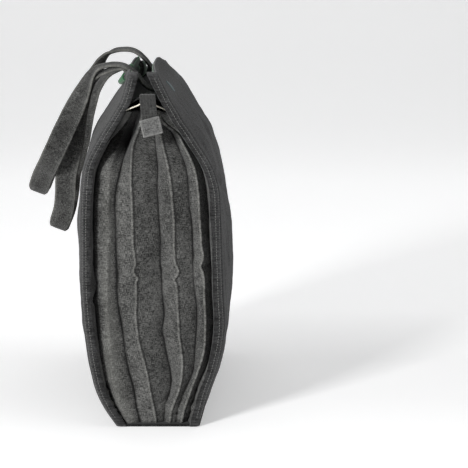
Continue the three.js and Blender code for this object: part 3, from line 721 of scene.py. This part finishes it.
# Panels and linings
def hem_profile():
    """Distance of each column of a panel from its hem's inner edge, and a great one between the hems."""
    hem = np.linspace(0, CORNER_LAP, PANEL_HEM, endpoint=False)
    angle = np.linspace(0, math.pi / 2, PANEL_CORNER, endpoint=False)
    flange = np.concatenate([hem, CORNER_LAP + CORNER_RADIUS * angle])
    middle = np.full(PANEL_FLAT, FAR)
    return np.concatenate([flange, middle, flange[::-1]])


def panel(name, side):
    """A wall with its seams pressed in and its stitches. Also returns the wall's grid."""
    rows = panel_rows(side)
    if side["sign"] > 0:
        rows = rows[:, ::-1]
    away = hem_profile()
    seams = sum(bump_at(away, seam, SEAM_HALF) for seam in FLANGE_SEAMS)
    height = np.linspace(0, BAG_HEIGHT, PANEL_ROWS)[:, None]
    top_seam = bump_at(height, BAG_HEIGHT - TOP_SEAM, TOP_SEAM_HALF)
    relief = -SEAM_DEPTH * seams[None, :] - TOP_SEAM_DEPTH * top_seam
    # Wear lightens each flange's rounded corner and the top edge; painted shade darkens the hem's inner edge.
    wear_and_shading = 0.35 * bump_at(away, 8.0, 1.6)[None, :] - 0.35 * bump_at(away, 0, 3.0)[None, :]
    wear_and_shading = wear_and_shading + 0.5 * bump_at(height, BAG_HEIGHT, 3.0)
    piece = sheet_mesh(name, rows, PANEL_WALL, wear_and_shading, relief, PANEL_RIM_WORN)
    normal = grid_normals(rows)
    raised = rows + normal * (PANEL_WALL / 2 - THREAD_SINK)
    hem = PANEL_HEM + PANEL_CORNER
    lines = []
    for seam in FLANGE_SEAMS:
        k = int(np.argmin(np.abs(away[:hem] - seam)))
        for column in (k, len(away) - 1 - k):
            lines.append((raised[3:-2, column], normal[3:-2, column]))
    top = PANEL_ROWS - 3
    lines.append((raised[top, hem:-hem], normal[top, hem:-hem]))
    return piece, rows, stitches(name + "_stitches", lines)


# Felt inside and over the top edge. The starts are shares of the wall's height.
LINING_START = 0.91
TURNOVER_START = 0.96
TURNOVER_WIDTH = 44.0


def lining(name, rows):
    first = math.ceil(LINING_START * (PANEL_ROWS - 1))
    skip = PANEL_HEM + PANEL_CORNER - 1
    normal = grid_normals(rows)
    inside = (rows - normal * LINING_OFFSET)[first:, skip:-skip]
    return sheet_mesh(name, inside, LINING_WALL), inside


def turnover(name, side, centre):
    """Felt wrapped over the top edge of a wall, where the edge curls out."""
    y = np.linspace(centre - TURNOVER_WIDTH / 2, centre + TURNOVER_WIDTH / 2, 26)[None, :]
    share = np.linspace(TURNOVER_START, 1, 14)[:, None]
    wall = wall_point(side, y, share)
    normal = outer_normals(wall, side)
    outside = wall + normal * LINING_OFFSET
    crest = wall[-1:] + unit(wall[-1:] - wall[-2:-1]) * LINING_OFFSET
    inside = (wall - normal * LINING_OFFSET)[:-4:-1]
    rows = np.concatenate([outside, crest, inside])
    return sheet_mesh(name, rows, LINING_WALL), rows


for name, side, word in (("panel_left", LEFT, "left"), ("panel_right", RIGHT, "right")):
    piece, rows, sewn = panel("visual_" + name, side)
    dress(piece, PANEL_CLOTH, "panel_cloth", name)
    dress(sewn, THREAD, "panel_cloth")
    facing, inside = lining("visual_lining_" + word, rows)
    dress(facing, GREEN_FELT, "felt", "lining_" + word)
    if side["lobe"]:
        for place, end in (("front", -1), ("back", 1)):
            wrap, unrolled = turnover("visual_turnover_" + place, side, end * ATTACH_SPREAD)
            dress(wrap, GREEN_FELT, "felt")


# Slits in the walls, with felt showing in them
SLIT_WIDTH = 7.5
SLIT_WALL = 0.5
SLIT_SINK = 0.1
# Each slit in the right wall: y and share of BAG_HEIGHT at its outer end, then at its inner end
SLITS = {
    "slit_front": (-139.0, 0.9615, -96.0, 0.927),
    "slit_back": (139.0, 0.9615, 96.0, 0.927),
}


def slit(name, side, ends):
    """A lens of felt lying on a wall's outer face."""
    start_y, start_height, end_y, end_height = ends
    part = np.linspace(0, 1, 30)[:, None]
    place = np.linspace(-1, 1, 9)[None, :]
    open_width = SLIT_WIDTH / 2 * np.sin(math.pi * (0.04 + 0.92 * part))
    share = mix(start_height, end_height, part) + place * open_width / BAG_HEIGHT
    y = mix(start_y, end_y, part) + 0 * place
    wall = wall_point(side, y, share)
    rows = wall + outer_normals(wall, side) * (PANEL_WALL / 2 + SLIT_WALL / 2 - SLIT_SINK)
    return sheet_mesh(name, rows, SLIT_WALL)


for name, ends in SLITS.items():
    dress(slit("visual_" + name, RIGHT, ends), TEAL_FELT, "felt")


# Pleated ends
FOLD_NAMES = ("v0", "r1", "v1", "r2", "v2", "r3", "v3", "r4", "v4")
STITCHED = ("r2", "r3", "r4")
# Places of the close columns beside a fold, as distances from it; between them a face has FACE_STEPS more
NEAR_CREST = np.array([0.0, 0.4, 1.0, 1.8, 2.6, 3.6])
NEAR_VALLEY = np.array([0.0, 0.9, 2.0, 3.2, 4.8])
FACE_STEPS = 8
FACE_BOW = 0.8  # how far the middle of a face stands out
GUSSET_ROWS = 150
EASED = {"v0": 0.62, "r1": 0.5, "v1": 0.55, "v2": 0.85, "v3": 0.62}  # share of the depth that is left
# Extra depth under the left shoulder, at a share of the height
SHOULDER_HOLLOW = {"v0": 24.0, "r1": 26.0, "v1": 52.0}
SHOULDER_SHARE = 0.83
SHOULDER_HALF = 0.065
FOLD_WAVE = 0.8  # how far a fold wanders
FOLD_WAVE_SIZE = 46
# Small sideways steps in folds: height, size and half height
KINKS = {"v0": (150, 3.5, 9), "r2": (168, -2.4, 5), "v2": (120, 1.8, 12), "r3": (168, 2.8, 6),
         "r4": (184, 2.2, 7)}
BACK_KINKS = 0.5  # share of a kink that shows at the back end


def kink(z, height, size, width):
    """A small sideways step in a fold, out and back."""
    return size * (bump_at(z, height, width) - 0.9 * bump_at(z, height - 1.6 * width, 0.6 * width))


def fold_stops(end, share):
    """x, depth and kind of each hem, flap and fold of a pleated end, at every height."""
    z = share * BAG_HEIGHT
    left_hem = -wall_distance(LEFT, end * HALF_LENGTH, share) + FLANGE
    right_hem = wall_distance(RIGHT, end * HALF_LENGTH, share) - FLANGE
    lap = CORNER_LAP - CLEARANCE
    level = HEM_DEPTH + 0 * z
    stops = [(left_hem - lap, level, "hem")]
    stops.append((left_hem + pleats["flap_left"](share) * FLAP_REACH, level, "hem"))
    for k, fold in enumerate(FOLD_NAMES):
        kind = "crest" if fold in STITCHED else "soft" if fold == "r1" else "valley"
        depth = pleats[kind](share) * EASED.get(fold, 1)
        hollow = bump_at(share, SHOULDER_SHARE, SHOULDER_HALF)
        depth = depth + SHOULDER_HOLLOW.get(fold, 0) / PLEAT_DEPTH * hollow
        wave = FOLD_WAVE * ripples(z, 0, FOLD_WAVE_SIZE, 40 + k) * smoothstep(z, 4, 40)
        step = kink(z, *KINKS[fold]) if fold in KINKS else 0
        x = pleats[fold](share) * HALF_WIDTH + wave + step * (1 if end < 0 else BACK_KINKS)
        stops.append((x, depth * PLEAT_DEPTH, kind))
    stops.append((right_hem - pleats["flap_right"](share) * FLAP_REACH, level, "hem"))
    stops.append((right_hem + lap, level, "hem"))
    return stops


def face_between(k, z, one, other):
    """Points of face k between two stops, with their distances from its crest and its valley."""
    (xa, da, kind_a), (xb, db, kind_b) = one, other
    length = np.hypot(xb - xa, db - da)[:, None]
    near = NEAR_CREST if kind_a == "crest" else NEAR_VALLEY
    far = NEAR_CREST if kind_b == "crest" else NEAR_VALLEY
    squeeze = np.minimum(1, 0.8 * length / (near[-1] + far[-1]))
    start = near[None, :] * squeeze
    finish = length - far[::-1][None, :] * squeeze
    part = np.linspace(0, 1, FACE_STEPS + 2)[None, 1:-1]
    middle = mix(start[:, -1:], finish[:, :1], part)
    where = np.concatenate([start, middle, finish[:, :-1]], axis=1)
    size = np.maximum(length, 1e-6)
    share = where / size
    bow = FACE_BOW * np.sin(math.pi * share) * smoothstep(length, 8, 30)
    bow = bow * (0.6 + 0.5 * ripples(z[:, None], where, 60, 70 + k))
    if "hem" in (kind_a, kind_b):
        bow = bow * (0 if kind_a == kind_b else 0.5)
    across, deeper = (xb - xa)[:, None], (db - da)[:, None]
    x = xa[:, None] + across * share + deeper / size * bow
    depth = da[:, None] + deeper * share - np.abs(across) / size * bow
    to_end = length - where
    far_off = np.full_like(where, FAR)
    crest = where if kind_a == "crest" else -to_end if kind_b == "crest" else far_off
    valley = where if kind_a == "valley" else to_end if kind_b == "valley" else far_off
    if kind_a == "valley" == kind_b:
        valley = np.minimum(where, to_end)
    return np.stack([x, depth], axis=-1), crest, valley


def gusset_grid(end):
    """Middle surface of a pleated end, with each point's distances from its crest and its valley.

    The distance from a crest is positive on its right.
    """
    low = (BASE_WALL + CLEARANCE) / BAG_HEIGHT
    share = np.linspace(low, GUSSET_TOP_SHARE, GUSSET_ROWS)
    z = share * BAG_HEIGHT
    stops = fold_stops(end, share)
    faces = [face_between(k, z, *pair) for k, pair in enumerate(zip(stops, stops[1:]))]
    last = np.stack(stops[-1][:2], axis=-1)[:, None]
    beyond = np.full((GUSSET_ROWS, 1), FAR)
    section, crest, valley = (
        np.concatenate([face[k] for face in faces] + [final], axis=1)
        for k, final in enumerate((last, beyond, beyond)))
    section[:, 1:-1] = (section[:, :-2] + 2 * section[:, 1:-1] + section[:, 2:]) / 4
    heights = np.broadcast_to(z[:, None], section.shape[:2])
    rows = np.stack([section[..., 0], end * (HALF_LENGTH - section[..., 1]), heights], axis=-1)
    return rows, crest, valley


# Small creases all over a pleated end: height, share of x, share of z, size and seed
CREASES = [(0.4, 1.2, 0.7, 34, 90), (0.12, 1.0, 1.0, 8, 95)]
# Tucks that lie across the folds: height, share of x, size, seed, and the middle and half of their band
TUCKS = [(1.1, 0.5, 9, 99, 12, 24), (0.5, 0.4, 12, 101, 165, 18)]


def pleat_relief(rows, end):
    """How far the cloth of a pleated end stands out of its smooth folds."""
    x, y, z = rows[..., 0], rows[..., 1], rows[..., 2]
    loose = smoothstep(np.abs(np.abs(y) - (HALF_LENGTH - HEM_DEPTH)), 0.5, 5)
    creased = sum(height * ripples(x * across, z * up, size, seed + end)
                  for height, across, up, size, seed in CREASES)
    tucks = sum(height * ripples(x * across, z, size, seed + end) * bump_at(z, middle, half)
                for height, across, size, seed, middle, half in TUCKS)
    return loose * (creased + tucks) * smoothstep(z, 3, 12)


def pleat_wear_and_shading(rows, z, crest, valley, end):
    """Wear and painted light and shade on a pleated end: stitched folds lighter (wear and painted highlight),
    a painted highlight on the soft swell, and painted shade in the valleys, on the right of each stitched
    fold, in the tuck beside the left hem and under the left shoulder.
    """
    x = rows[..., 0]
    # Stitched folds lighter (wear and painted highlight), a painted shadow on the right of each, painted
    # shade along the valleys
    wear_and_shading = 0.4 * bump_at(crest, -0.2, 0.5) - 0.6 * bump_at(crest, 2.0, 1.1) - 1.1 * bump_at(valley, 0, 2.2)
    swell = HALF_WIDTH * pleats["r1"](z / BAG_HEIGHT)
    # Painted highlight on the soft swell's lit face, stronger lower down
    swell_highlight = mix(0.3, 0.15, smoothstep(z, 90, 230))
    wear_and_shading = wear_and_shading + swell_highlight * bump_at(x, swell, 10) * (wear_and_shading > -0.05)
    # Painted shadow in a band along the tuck beside the left hem
    tuck = HALF_WIDTH * pleats["v0"](z / BAG_HEIGHT) + 2.5 * ripples(z, 0, 70, 97 + end)
    wear_and_shading = wear_and_shading - 0.75 * bump_at(x, tuck, 5.5) * smoothstep(z, 60, 110)
    # Painted shadow under the left shoulder
    shoulder = bump_at(z, 0.81 * BAG_HEIGHT, 20) * bump_at(x, mix(tuck, swell, 1.3), 13)
    return wear_and_shading - 0.8 * shoulder


PINCH_HEIGHT = 0.45  # of the cloth sewn together along a stitched fold
PINCH_HALF = 0.8
GROOVE_DEPTH = 0.5  # beside it
GROOVE_PLACE = 2.2
GROOVE_HALF = 0.9
FOLD_THREAD_SINK = 0.2
AT_THREAD = 2  # columns from a stitched fold to its thread


def gusset(name, end):
    """A pleated end with its stitches. Also returns its grid."""
    rows, crest, valley = gusset_grid(end)
    if end < 0:
        rows, crest, valley = rows[:, ::-1], crest[:, ::-1], valley[:, ::-1]
    distance = np.abs(crest)
    z = rows[..., 2]
    normal = grid_normals(rows)
    facing = np.sign(normal[GUSSET_ROWS // 2, :, 1].mean() * end)
    rows = rows + normal * facing * pleat_relief(rows, end)[..., None]
    pinch = PINCH_HEIGHT * bump_at(distance, 0, PINCH_HALF)
    pinch = pinch - GROOVE_DEPTH * bump_at(distance, GROOVE_PLACE, GROOVE_HALF)
    # Painted light and shade on the pleats, with some wear
    wear_and_shading = pleat_wear_and_shading(rows, z, crest, valley, end)
    piece = sheet_mesh(name, rows, GUSSET_WALL, wear_and_shading, pinch * facing)
    normal = grid_normals(rows) * facing
    raised = rows + normal * (GUSSET_WALL / 2 - FOLD_THREAD_SINK)
    crests = [k for k in range(1, distance.shape[1] - 1) if distance[40, k] < 0.2]
    lines = [(raised[4:-6, k + AT_THREAD], normal[4:-6, k + AT_THREAD]) for k in crests]
    return piece, rows, stitches(name + "_stitches", lines)


for name, end in (("gusset_front", -1), ("gusset_back", 1)):
    piece, rows, sewn = gusset("visual_" + name, end)
    dress(piece, PLEAT_CLOTH, "pleat_cloth", name)
    dress(sewn, THREAD, "pleat_cloth")


# Straps, tape and tab
def strip_grid(points, widths, width, steps, columns_across):
    """Middle surface and length of a strip along control points, each with the direction of its width."""
    points = np.asarray(points, float)
    reach = travel(points)
    dense = np.linspace(0, reach[-1], 1500)
    line = curve(reach, points)(dense)
    travelled = travel(line)
    even = np.interp(np.linspace(0, travelled[-1], steps), travelled, dense)
    line = curve(reach, points)(even)
    aside = unit(curve(reach, np.asarray(widths, float))(even))
    along = unit(np.gradient(line, axis=0))
    aside = unit(aside - along * (aside * along).sum(axis=1, keepdims=True))
    offsets = np.linspace(-width / 2, width / 2, columns_across)
    return line[:, None] + aside[:, None] * offsets[None, :, None], travelled[-1]


STRAP_SEATS = (0.918, 0.934, 0.95)  # shares of the wall's height


def strap_seat(side, y):
    """Where a strap lies on the inside of its wall, and its way over the left wall's curled edge."""
    offset = STRAP_OFFSET + 4 * CLEARANCE
    sign = side["sign"]

    def place(share):
        return wall_point(side, np.array(float(y)), np.array(share))

    def inward(share):
        up = unit(place(share + 0.005) - place(share - 0.005))
        return np.array([sign * -abs(up[2]), 0, sign * np.sign(up[2]) * up[0]])

    seat = [place(share) + inward(share) * offset for share in STRAP_SEATS]
    if side is RIGHT:
        return seat
    neck = place(LOBE_TIP)
    over = [neck + offset * np.array([math.cos(math.radians(a)), 0, math.sin(math.radians(a))])
            for a in (-20, 20, 60, 95)]
    return [seat[0], *over]


def handle_grid(side, course, reach_size, rise):
    """Middle surface and length of a strap, from its front seat round the loop to its back seat."""
    def half(end):
        y = end * ATTACH_SPREAD
        seat = [(point, 0.0) for point in strap_seat(side, y)]
        free = [(np.array([-reach * reach_size, y * spread, height * BAG_HEIGHT + rise * end * spread]), turn)
                for spread, reach, height, turn in course]
        return seat + free

    _, reach, height, _ = course[-1]
    start = np.array([-reach * reach_size, 0.0, height * BAG_HEIGHT])
    down = unit(np.array([-0.35, 0.0, -0.94]))
    crosswise = np.array([down[2], 0.0, -down[0]])
    bend = [(start + down * FOLD_RADIUS * (0.6 + math.cos(math.radians(a)))
             + np.array([0, FOLD_RADIUS * math.sin(math.radians(a)), 0]), 90.0) for a in (-60, 0, 60)]
    front = half(-1)
    everything = front + bend + half(1)[::-1]
    widths = []
    for k, (_, turn) in enumerate(everything):
        sign = (1 if k < len(front) else -1) * side["sign"]
        angle = math.radians(turn)
        level = sign * math.cos(angle)
        widths.append(np.array([0, level, level * STRAP_TILT]) + crosswise * math.sin(angle))
    points = [point for point, _ in everything]
    return strip_grid(points, widths, STRAP_WIDTH, 250, 21)


# How much painted shade darkens each strap where it bends over
BEND_SHADE = {"visual_handle_right": 0.5, "visual_handle_left": 0.2}
BEND_HEIGHT = 308
BEND_HALF = 26
STRAP_SEAM = 2.2  # from the strap's edge
STRAP_SEAM_HALF = 0.9
STRAP_SEAM_DEPTH = 0.5
STRAP_EDGE_DEPTH = 0.4
STRAP_THREAD = STRAP_WALL / 2 - 0.42  # how far the thread stands off the strap's middle
LOOP_NARROWING = 0.28  # share of the width lost at the fold of the loop
LOOP_HALF = 7


def handle(name, side, course, reach_size, rise):
    """A strap with its stitches."""
    rows, length = handle_grid(side, course, reach_size, rise)
    count = rows.shape[1]
    place = np.linspace(-STRAP_WIDTH / 2, STRAP_WIDTH / 2, count)
    from_edge = STRAP_WIDTH / 2 - np.abs(place)
    groove = bump_at(from_edge, STRAP_SEAM, STRAP_SEAM_HALF)
    wall = STRAP_WALL - STRAP_SEAM_DEPTH * groove - STRAP_EDGE_DEPTH * bump_at(from_edge, 0, 0.8)
    along = np.linspace(0, length, len(rows))[:, None]
    wall = wall[None, :] + 0.22 * ripples(along, place[None, :], 14, side["seed"] + 50)
    wear_and_shading = 0.7 * bump_at(from_edge, 0, 1.0) + 0.15 * bump_at(from_edge, 4.5, 1.5)
    bow = STRAP_BOW * (1 - (2 * place / STRAP_WIDTH) ** 2)
    from_fold = np.abs(np.arange(len(rows)) - len(rows) / 2) * length / len(rows)
    bow = bow[None, :] * smoothstep(from_fold, 14, 40)[:, None]
    rows = rows + grid_normals(rows) * bow[..., None]
    centre = rows[:, count // 2:count // 2 + 1]
    rows = centre + (rows - centre) * (1 - LOOP_NARROWING * bump_at(from_fold, 0, LOOP_HALF))[:, None, None]
    # Wear lightens the strap's edges; painted shade darkens it where it bends over
    wear_and_shading = wear_and_shading[None, :] - BEND_SHADE[name] * bump_at(rows[..., 2], BEND_HEIGHT, BEND_HALF)
    piece = sheet_mesh(name, rows, np.clip(wall, 1.2, STRAP_WALL), wear_and_shading, back_wear_and_shading=1)
    normal = grid_normals(rows)
    lines = []
    for column in (2, count - 3):
        for out in (normal[4:-4, column], -normal[4:-4, column]):
            lines.append((rows[4:-4, column] + out * STRAP_THREAD, out))
    return piece, stitches(name + "_stitches", lines)


for name, side, course, reach_size, rise in (
    ("handle_right", RIGHT, RIGHT_COURSE, RIGHT_REACH, RIGHT_RISE),
    ("handle_left", LEFT, LEFT_COURSE, LEFT_REACH, LEFT_RISE),
):
    piece, sewn = handle("visual_" + name, side, course, reach_size, rise)
    dress(piece, STRAP_CLOTH, "strap_cloth", name)
    dress(sewn, THREAD, "strap_cloth")


# Roof and zip
def roof_drop(y):
    """How far the roof sags below its height at the two ends."""
    return ROOF_SAG * (1 - (y / HALF_LENGTH) ** 2)


ROOF_REACH = HALF_LENGTH - ROOF_INSET


def roof_rows(side):
    """Middle surface of a roof strip, from its wall up to the zip."""
    ridge = ROOF_TOP - ZIP_WALL / 2 - CLEARANCE - ROOF_WALL / 2
    sign = side["sign"]
    slot = ZIP_CENTRE + sign * ZIP_SLOT / 2
    lap = ZIP_CENTRE + sign * ZIP_WIDTH / 2
    y = np.linspace(-ROOF_REACH, ROOF_REACH, 90)
    wall = wall_point(side, y, (ROOF_SIDE - roof_drop(y) / 2) / BAG_HEIGHT)
    edge = wall[:, 0] - sign * (PANEL_WALL + CLEARANCE + ROOF_WALL / 2)
    low = wall[:, 2]
    high = ridge - roof_drop(y)
    stops = [
        (edge, low - ROOF_WALL * 3),
        (edge, low),
        (mix(edge, lap, 0.5), mix(low, high, 0.55)),
        (lap + 0 * y, high),
        (slot + 0 * y, high),
    ]
    parts = []
    for (xa, za), (xb, zb) in zip(stops, stops[1:]):
        part = np.linspace(0, 1, 6, endpoint=False)[None, :]
        x = mix(xa[:, None], xb[:, None], part)
        z = mix(za[:, None], zb[:, None], part)
        parts.append(np.stack([x, z], axis=-1))
    parts.append(np.stack(stops[-1], axis=-1)[:, None])
    section = np.concatenate(parts, axis=1)
    for _ in range(2):
        section[:, 1:-1] = (section[:, :-2] + 2 * section[:, 1:-1] + section[:, 2:]) / 4
    along = np.broadcast_to(y[:, None], section.shape[:2])
    rows = np.stack([section[..., 0], along, section[..., 1]], axis=-1)
    return rows[:, ::-1] if sign > 0 else rows


for name, side in (("roof_strip_left", LEFT), ("roof_strip_right", RIGHT)):
    rows = roof_rows(side)
    piece = sheet_mesh("visual_" + name, rows, ROOF_WALL)
    dress(piece, ROOF_SHADED_CLOTH, "panel_cloth", name)


def tail_course():
    steps = [(0, 0), (0.2, 0.06), (0.6, 0.26), (0.9, 0.6), (1, 1)]
    hanging = [np.array([ZIP_CENTRE + TAIL_DRIFT * down, -HALF_LENGTH - TAIL_REACH * out,
                         ROOF_TOP - TAIL_DROP * down]) for out, down in steps]
    return [np.array([ZIP_CENTRE, ROOF_INSET - HALF_LENGTH, ROOF_TOP]), *hanging]


RIBS = 5
RIB_HEIGHT = 0.3


def zip_tape():
    ridge = [np.array([ZIP_CENTRE, y, ROOF_TOP - roof_drop(y)])
             for y in ROOF_REACH * np.linspace(1, -0.75, 8)]
    points = ridge + tail_course()
    rows, _ = strip_grid(points, [(1, 0, 0)] * len(points), ZIP_WIDTH, 220, 41)
    place = np.linspace(-0.5, 0.5, rows.shape[1])
    ribs = RIB_HEIGHT * np.abs(np.sin(math.pi * RIBS * (place + 0.5)))
    wall = np.broadcast_to(ZIP_WALL - 2 * RIB_HEIGHT + 2 * ribs, rows.shape[:2])
    wear_and_shading = 0.25 * (1 - ribs / RIB_HEIGHT)[None, :]
    return sheet_mesh("visual_zip_tape", rows, wall, wear_and_shading)


piece = zip_tape()
dress(piece, ZIP_WEBBING, "zip_webbing", "zip_tape")


def zip_tab():
    before, tail = tail_course()[-2:]
    outward = (tail[1] - before[1]) / (before[2] - tail[2])
    slope = unit(np.array([math.sin(TAB_LEAN), outward * math.cos(TAB_LEAN), -math.cos(TAB_LEAN)]))
    start = tail + np.array([0, -(ZIP_WALL + TAB_WALL) / 2 - 2 * CLEARANCE, 0]) - slope * TAB_LAP
    points = [start + slope * part * TAB_LENGTH for part in (0, 0.5, 1)]
    widths = [(math.cos(TAB_LEAN), 0, math.sin(TAB_LEAN))] * 3
    rows, _ = strip_grid(points, widths, TAB_WIDTH, 24, 27)
    down = np.linspace(0, TAB_LENGTH, len(rows))[:, None]
    across = np.linspace(-0.5, 0.5, rows.shape[1])[None, :] * TAB_WIDTH
    border = np.minimum(TAB_WIDTH / 2 - np.abs(across), np.minimum(down, TAB_LENGTH - down))
    groove = bump_at(border, 2.0, 0.7)
    wall = TAB_WALL - 0.7 * groove - 0.6 * bump_at(border, 0, 0.6) + 0.2 * ripples(down, across, 7, 77)
    piece = sheet_mesh("visual_zip_tab", rows, np.clip(wall, 1, TAB_WALL), 0.5 * bump_at(border, 0, 1.2))
    normal = grid_normals(rows)
    normal = normal * np.sign(normal[12, 13, 1]) * -1
    raised = rows + normal * TAB_THREAD
    lines = [(raised[row, 3:-3], normal[row, 3:-3]) for row in (3, 20)]
    lines += [(raised[3:-3, column], normal[3:-3, column]) for column in (3, 23)]
    return piece, stitches("visual_zip_tab_stitches", lines)


piece, sewn = zip_tab()
dress(piece, TAB_CLOTH, "tab_cloth", "zip_tab")
dress(sewn, THREAD, "tab_cloth")


# Wires
def wire_path(end):
    """Course of a wire, up from the left flap, under the zip and down to the right one."""
    y = end * (HALF_LENGTH - WIRE_DEPTH)
    foot = ROOF_SIDE - WIRE_TUCK
    shoulder = ROOF_SIDE - CLEARANCE
    room = FLANGE - 1.5 * WIRE_DIAMETER
    halves = []
    for side in (LEFT, RIGHT):
        at_foot = side["sign"] * (wall_distance(side, y, foot / BAG_HEIGHT) - room)
        at_shoulder = side["sign"] * (wall_distance(side, y, shoulder / BAG_HEIGHT) - room - WIRE_DIAMETER)
        halves.append([
            (at_foot, y, foot),
            (at_shoulder, y, shoulder),
            (mix(at_shoulder, ZIP_CENTRE, 0.6), y, shoulder + WIRE_RISE * 0.62),
        ])
    points = np.array([*halves[0], (ZIP_CENTRE, y, shoulder + WIRE_RISE), *halves[1][::-1]])
    reach = travel(points)
    return curve(reach, points)(np.linspace(0, reach[-1], 70))


for name, end in (("wire_front", -1), ("wire_back", 1)):
    piece = tube_mesh("visual_" + name, wire_path(end), WIRE_DIAMETER / 2)
    dress(piece, WIRE_METAL, "wire_steel", name)


# Base
def base_mesh(name):
    low, high = box_mm("base_panel")
    rim = 0.8
    outline = []
    for cx, cy, start in ((1, 1, 0), (-1, 1, 90), (-1, -1, 180), (1, -1, 270)):
        for angle in np.radians(np.linspace(start, start + 90, 7)):
            x = (high[0] if cx > 0 else low[0]) - cx * CORNER_RADIUS
            y = (high[1] if cy > 0 else low[1]) - cy * CORNER_RADIUS
            outline.append((x, y, math.cos(angle), math.sin(angle)))
    levels = [(0, rim), (rim * 0.3, rim * 0.3), (rim, 0), (BASE_WALL - rim, 0),
              (BASE_WALL - rim * 0.3, rim * 0.3), (BASE_WALL, rim)]
    points = [(x + (CORNER_RADIUS - inset) * c, y + (CORNER_RADIUS - inset) * s, z)
              for z, inset in levels for x, y, c, s in outline]
    n = len(outline)
    faces = ring_faces(len(levels), n)
    faces += [tuple(range(n))[::-1], tuple(range((len(levels) - 1) * n, len(levels) * n))]
    points = np.array(points)
    return new_mesh(name, points, faces, points[:, :2])


dress(base_mesh("visual_base_panel"), BASE_SHADED_CLOTH, "panel_cloth", "base_panel")


# Stage, light and camera
# Painted shading of the paper from the front of the floor to the top of the wall: darker on the floor, most
# round the bag, and toward the top of the wall. Each tone is at a share of the way from STAGE_FROM to
# STAGE_TO, which are sums of y and z in metres
STAGE_FROM = -0.4
STAGE_TO = 4.2
STAGE_SHADING = [(0.03, 0.86), (0.075, 0.8), (0.12, 0.8), (0.19, 0.98), (0.5, 1.0), (0.95, 0.8)]
# how much the paper glows in its own tones: painted light
STAGE_GLOW = 0.46
# The paper's course in millimetres: y and z
STAGE_COURSE = [(-3000, 0), (2600, 0), (3000, 40), (3350, 200), (3600, 520), (3700, 900), (3720, 3200)]
STAGE_HALF = 3500


def stage():
    """Floor and wall in one seamless sweep."""
    reach = np.cumsum([0] + [math.dist(a, b) for a, b in zip(STAGE_COURSE, STAGE_COURSE[1:])])
    line = curve(reach, STAGE_COURSE)(np.linspace(0, reach[-1], 80))
    line[:, 1] = np.maximum(line[:, 1], 0)
    x = np.linspace(-STAGE_HALF, STAGE_HALF, 12)
    rows = np.stack(np.broadcast_arrays(x[None, :], line[:, :1], line[:, 1:] - 0.05), axis=-1)
    piece = new_mesh("stage_sweep", rows.reshape(-1, 3), grid_faces(*rows.shape[:2]).tolist())
    made, tree, shader = material("stage_paper")
    axes = node(tree, "ShaderNodeSeparateXYZ", {0: object_place(tree)}).outputs
    reach_in = maths(tree, "ADD", axes[1], axes[2])
    along = node(tree, "ShaderNodeMapRange", {0: reach_in, 1: STAGE_FROM, 2: STAGE_TO}).outputs[0]
    # The paper's painted shading, used both for its colour and for its glow
    paper = ramp(tree, along, [(place, grey(level)) for place, level in STAGE_SHADING])
    fill(tree, shader, {
        "Base Color": paper,
        "Emission Color": paper,
        "Emission Strength": STAGE_GLOW,
        "Roughness": 0.9,
        "Specular IOR Level": 0.1,
    })
    piece.data.materials.append(made)


stage()


def area_light(name, place, target, size, power, colour=(1, 1, 1)):
    data = bpy.data.lights.new(name, "AREA")
    data.shape = "RECTANGLE"
    data.size, data.size_y = size
    data.energy = power
    data.color = colour
    lamp = bpy.data.objects.new(name, data)
    lamp.location = place
    aim = np.array(target) - np.array(place)
    lamp.rotation_mode = "QUATERNION"
    lamp.rotation_quaternion = Vector(aim.tolist()).to_track_quat("-Z", "Y")
    bpy.context.scene.collection.objects.link(lamp)


area_light("key", (-1.3, -2.4, 1.0), (0, 0, 0.2), (0.5, 0.5), 86)
area_light("top", (0.3, 0.4, 2.6), (0, 0.3, 0), (2.4, 2.4), 22)
area_light("fill", (2.4, -1.6, 0.9), (0, 0, 0.2), (1.2, 1.2), 8)

world = bpy.data.worlds.new("studio")
bpy.context.scene.world = world
world.use_nodes = True
world.node_tree.nodes["Background"].inputs["Color"].default_value = (0.9, 0.93, 1.0, 1)
world.node_tree.nodes["Background"].inputs["Strength"].default_value = 0.07

# Camera, level from side to side and tilted down
IMAGE = 468  # pixels across
FOCAL = 2077  # pixels
SENSOR = 36.0
camera_data = bpy.data.cameras.new("camera")
camera_data.sensor_width = SENSOR
camera_data.lens = FOCAL / IMAGE * SENSOR
camera_data.clip_start, camera_data.clip_end = 0.05, 50
camera = bpy.data.objects.new("camera", camera_data)
camera.location = (0.083, -2.356, 0.530)
camera.rotation_euler = (math.radians(90 - 8.5), 0, 0)
bpy.context.scene.collection.objects.link(camera)
bpy.context.scene.camera = camera
bpy.context.scene.view_settings.view_transform = "Standard"
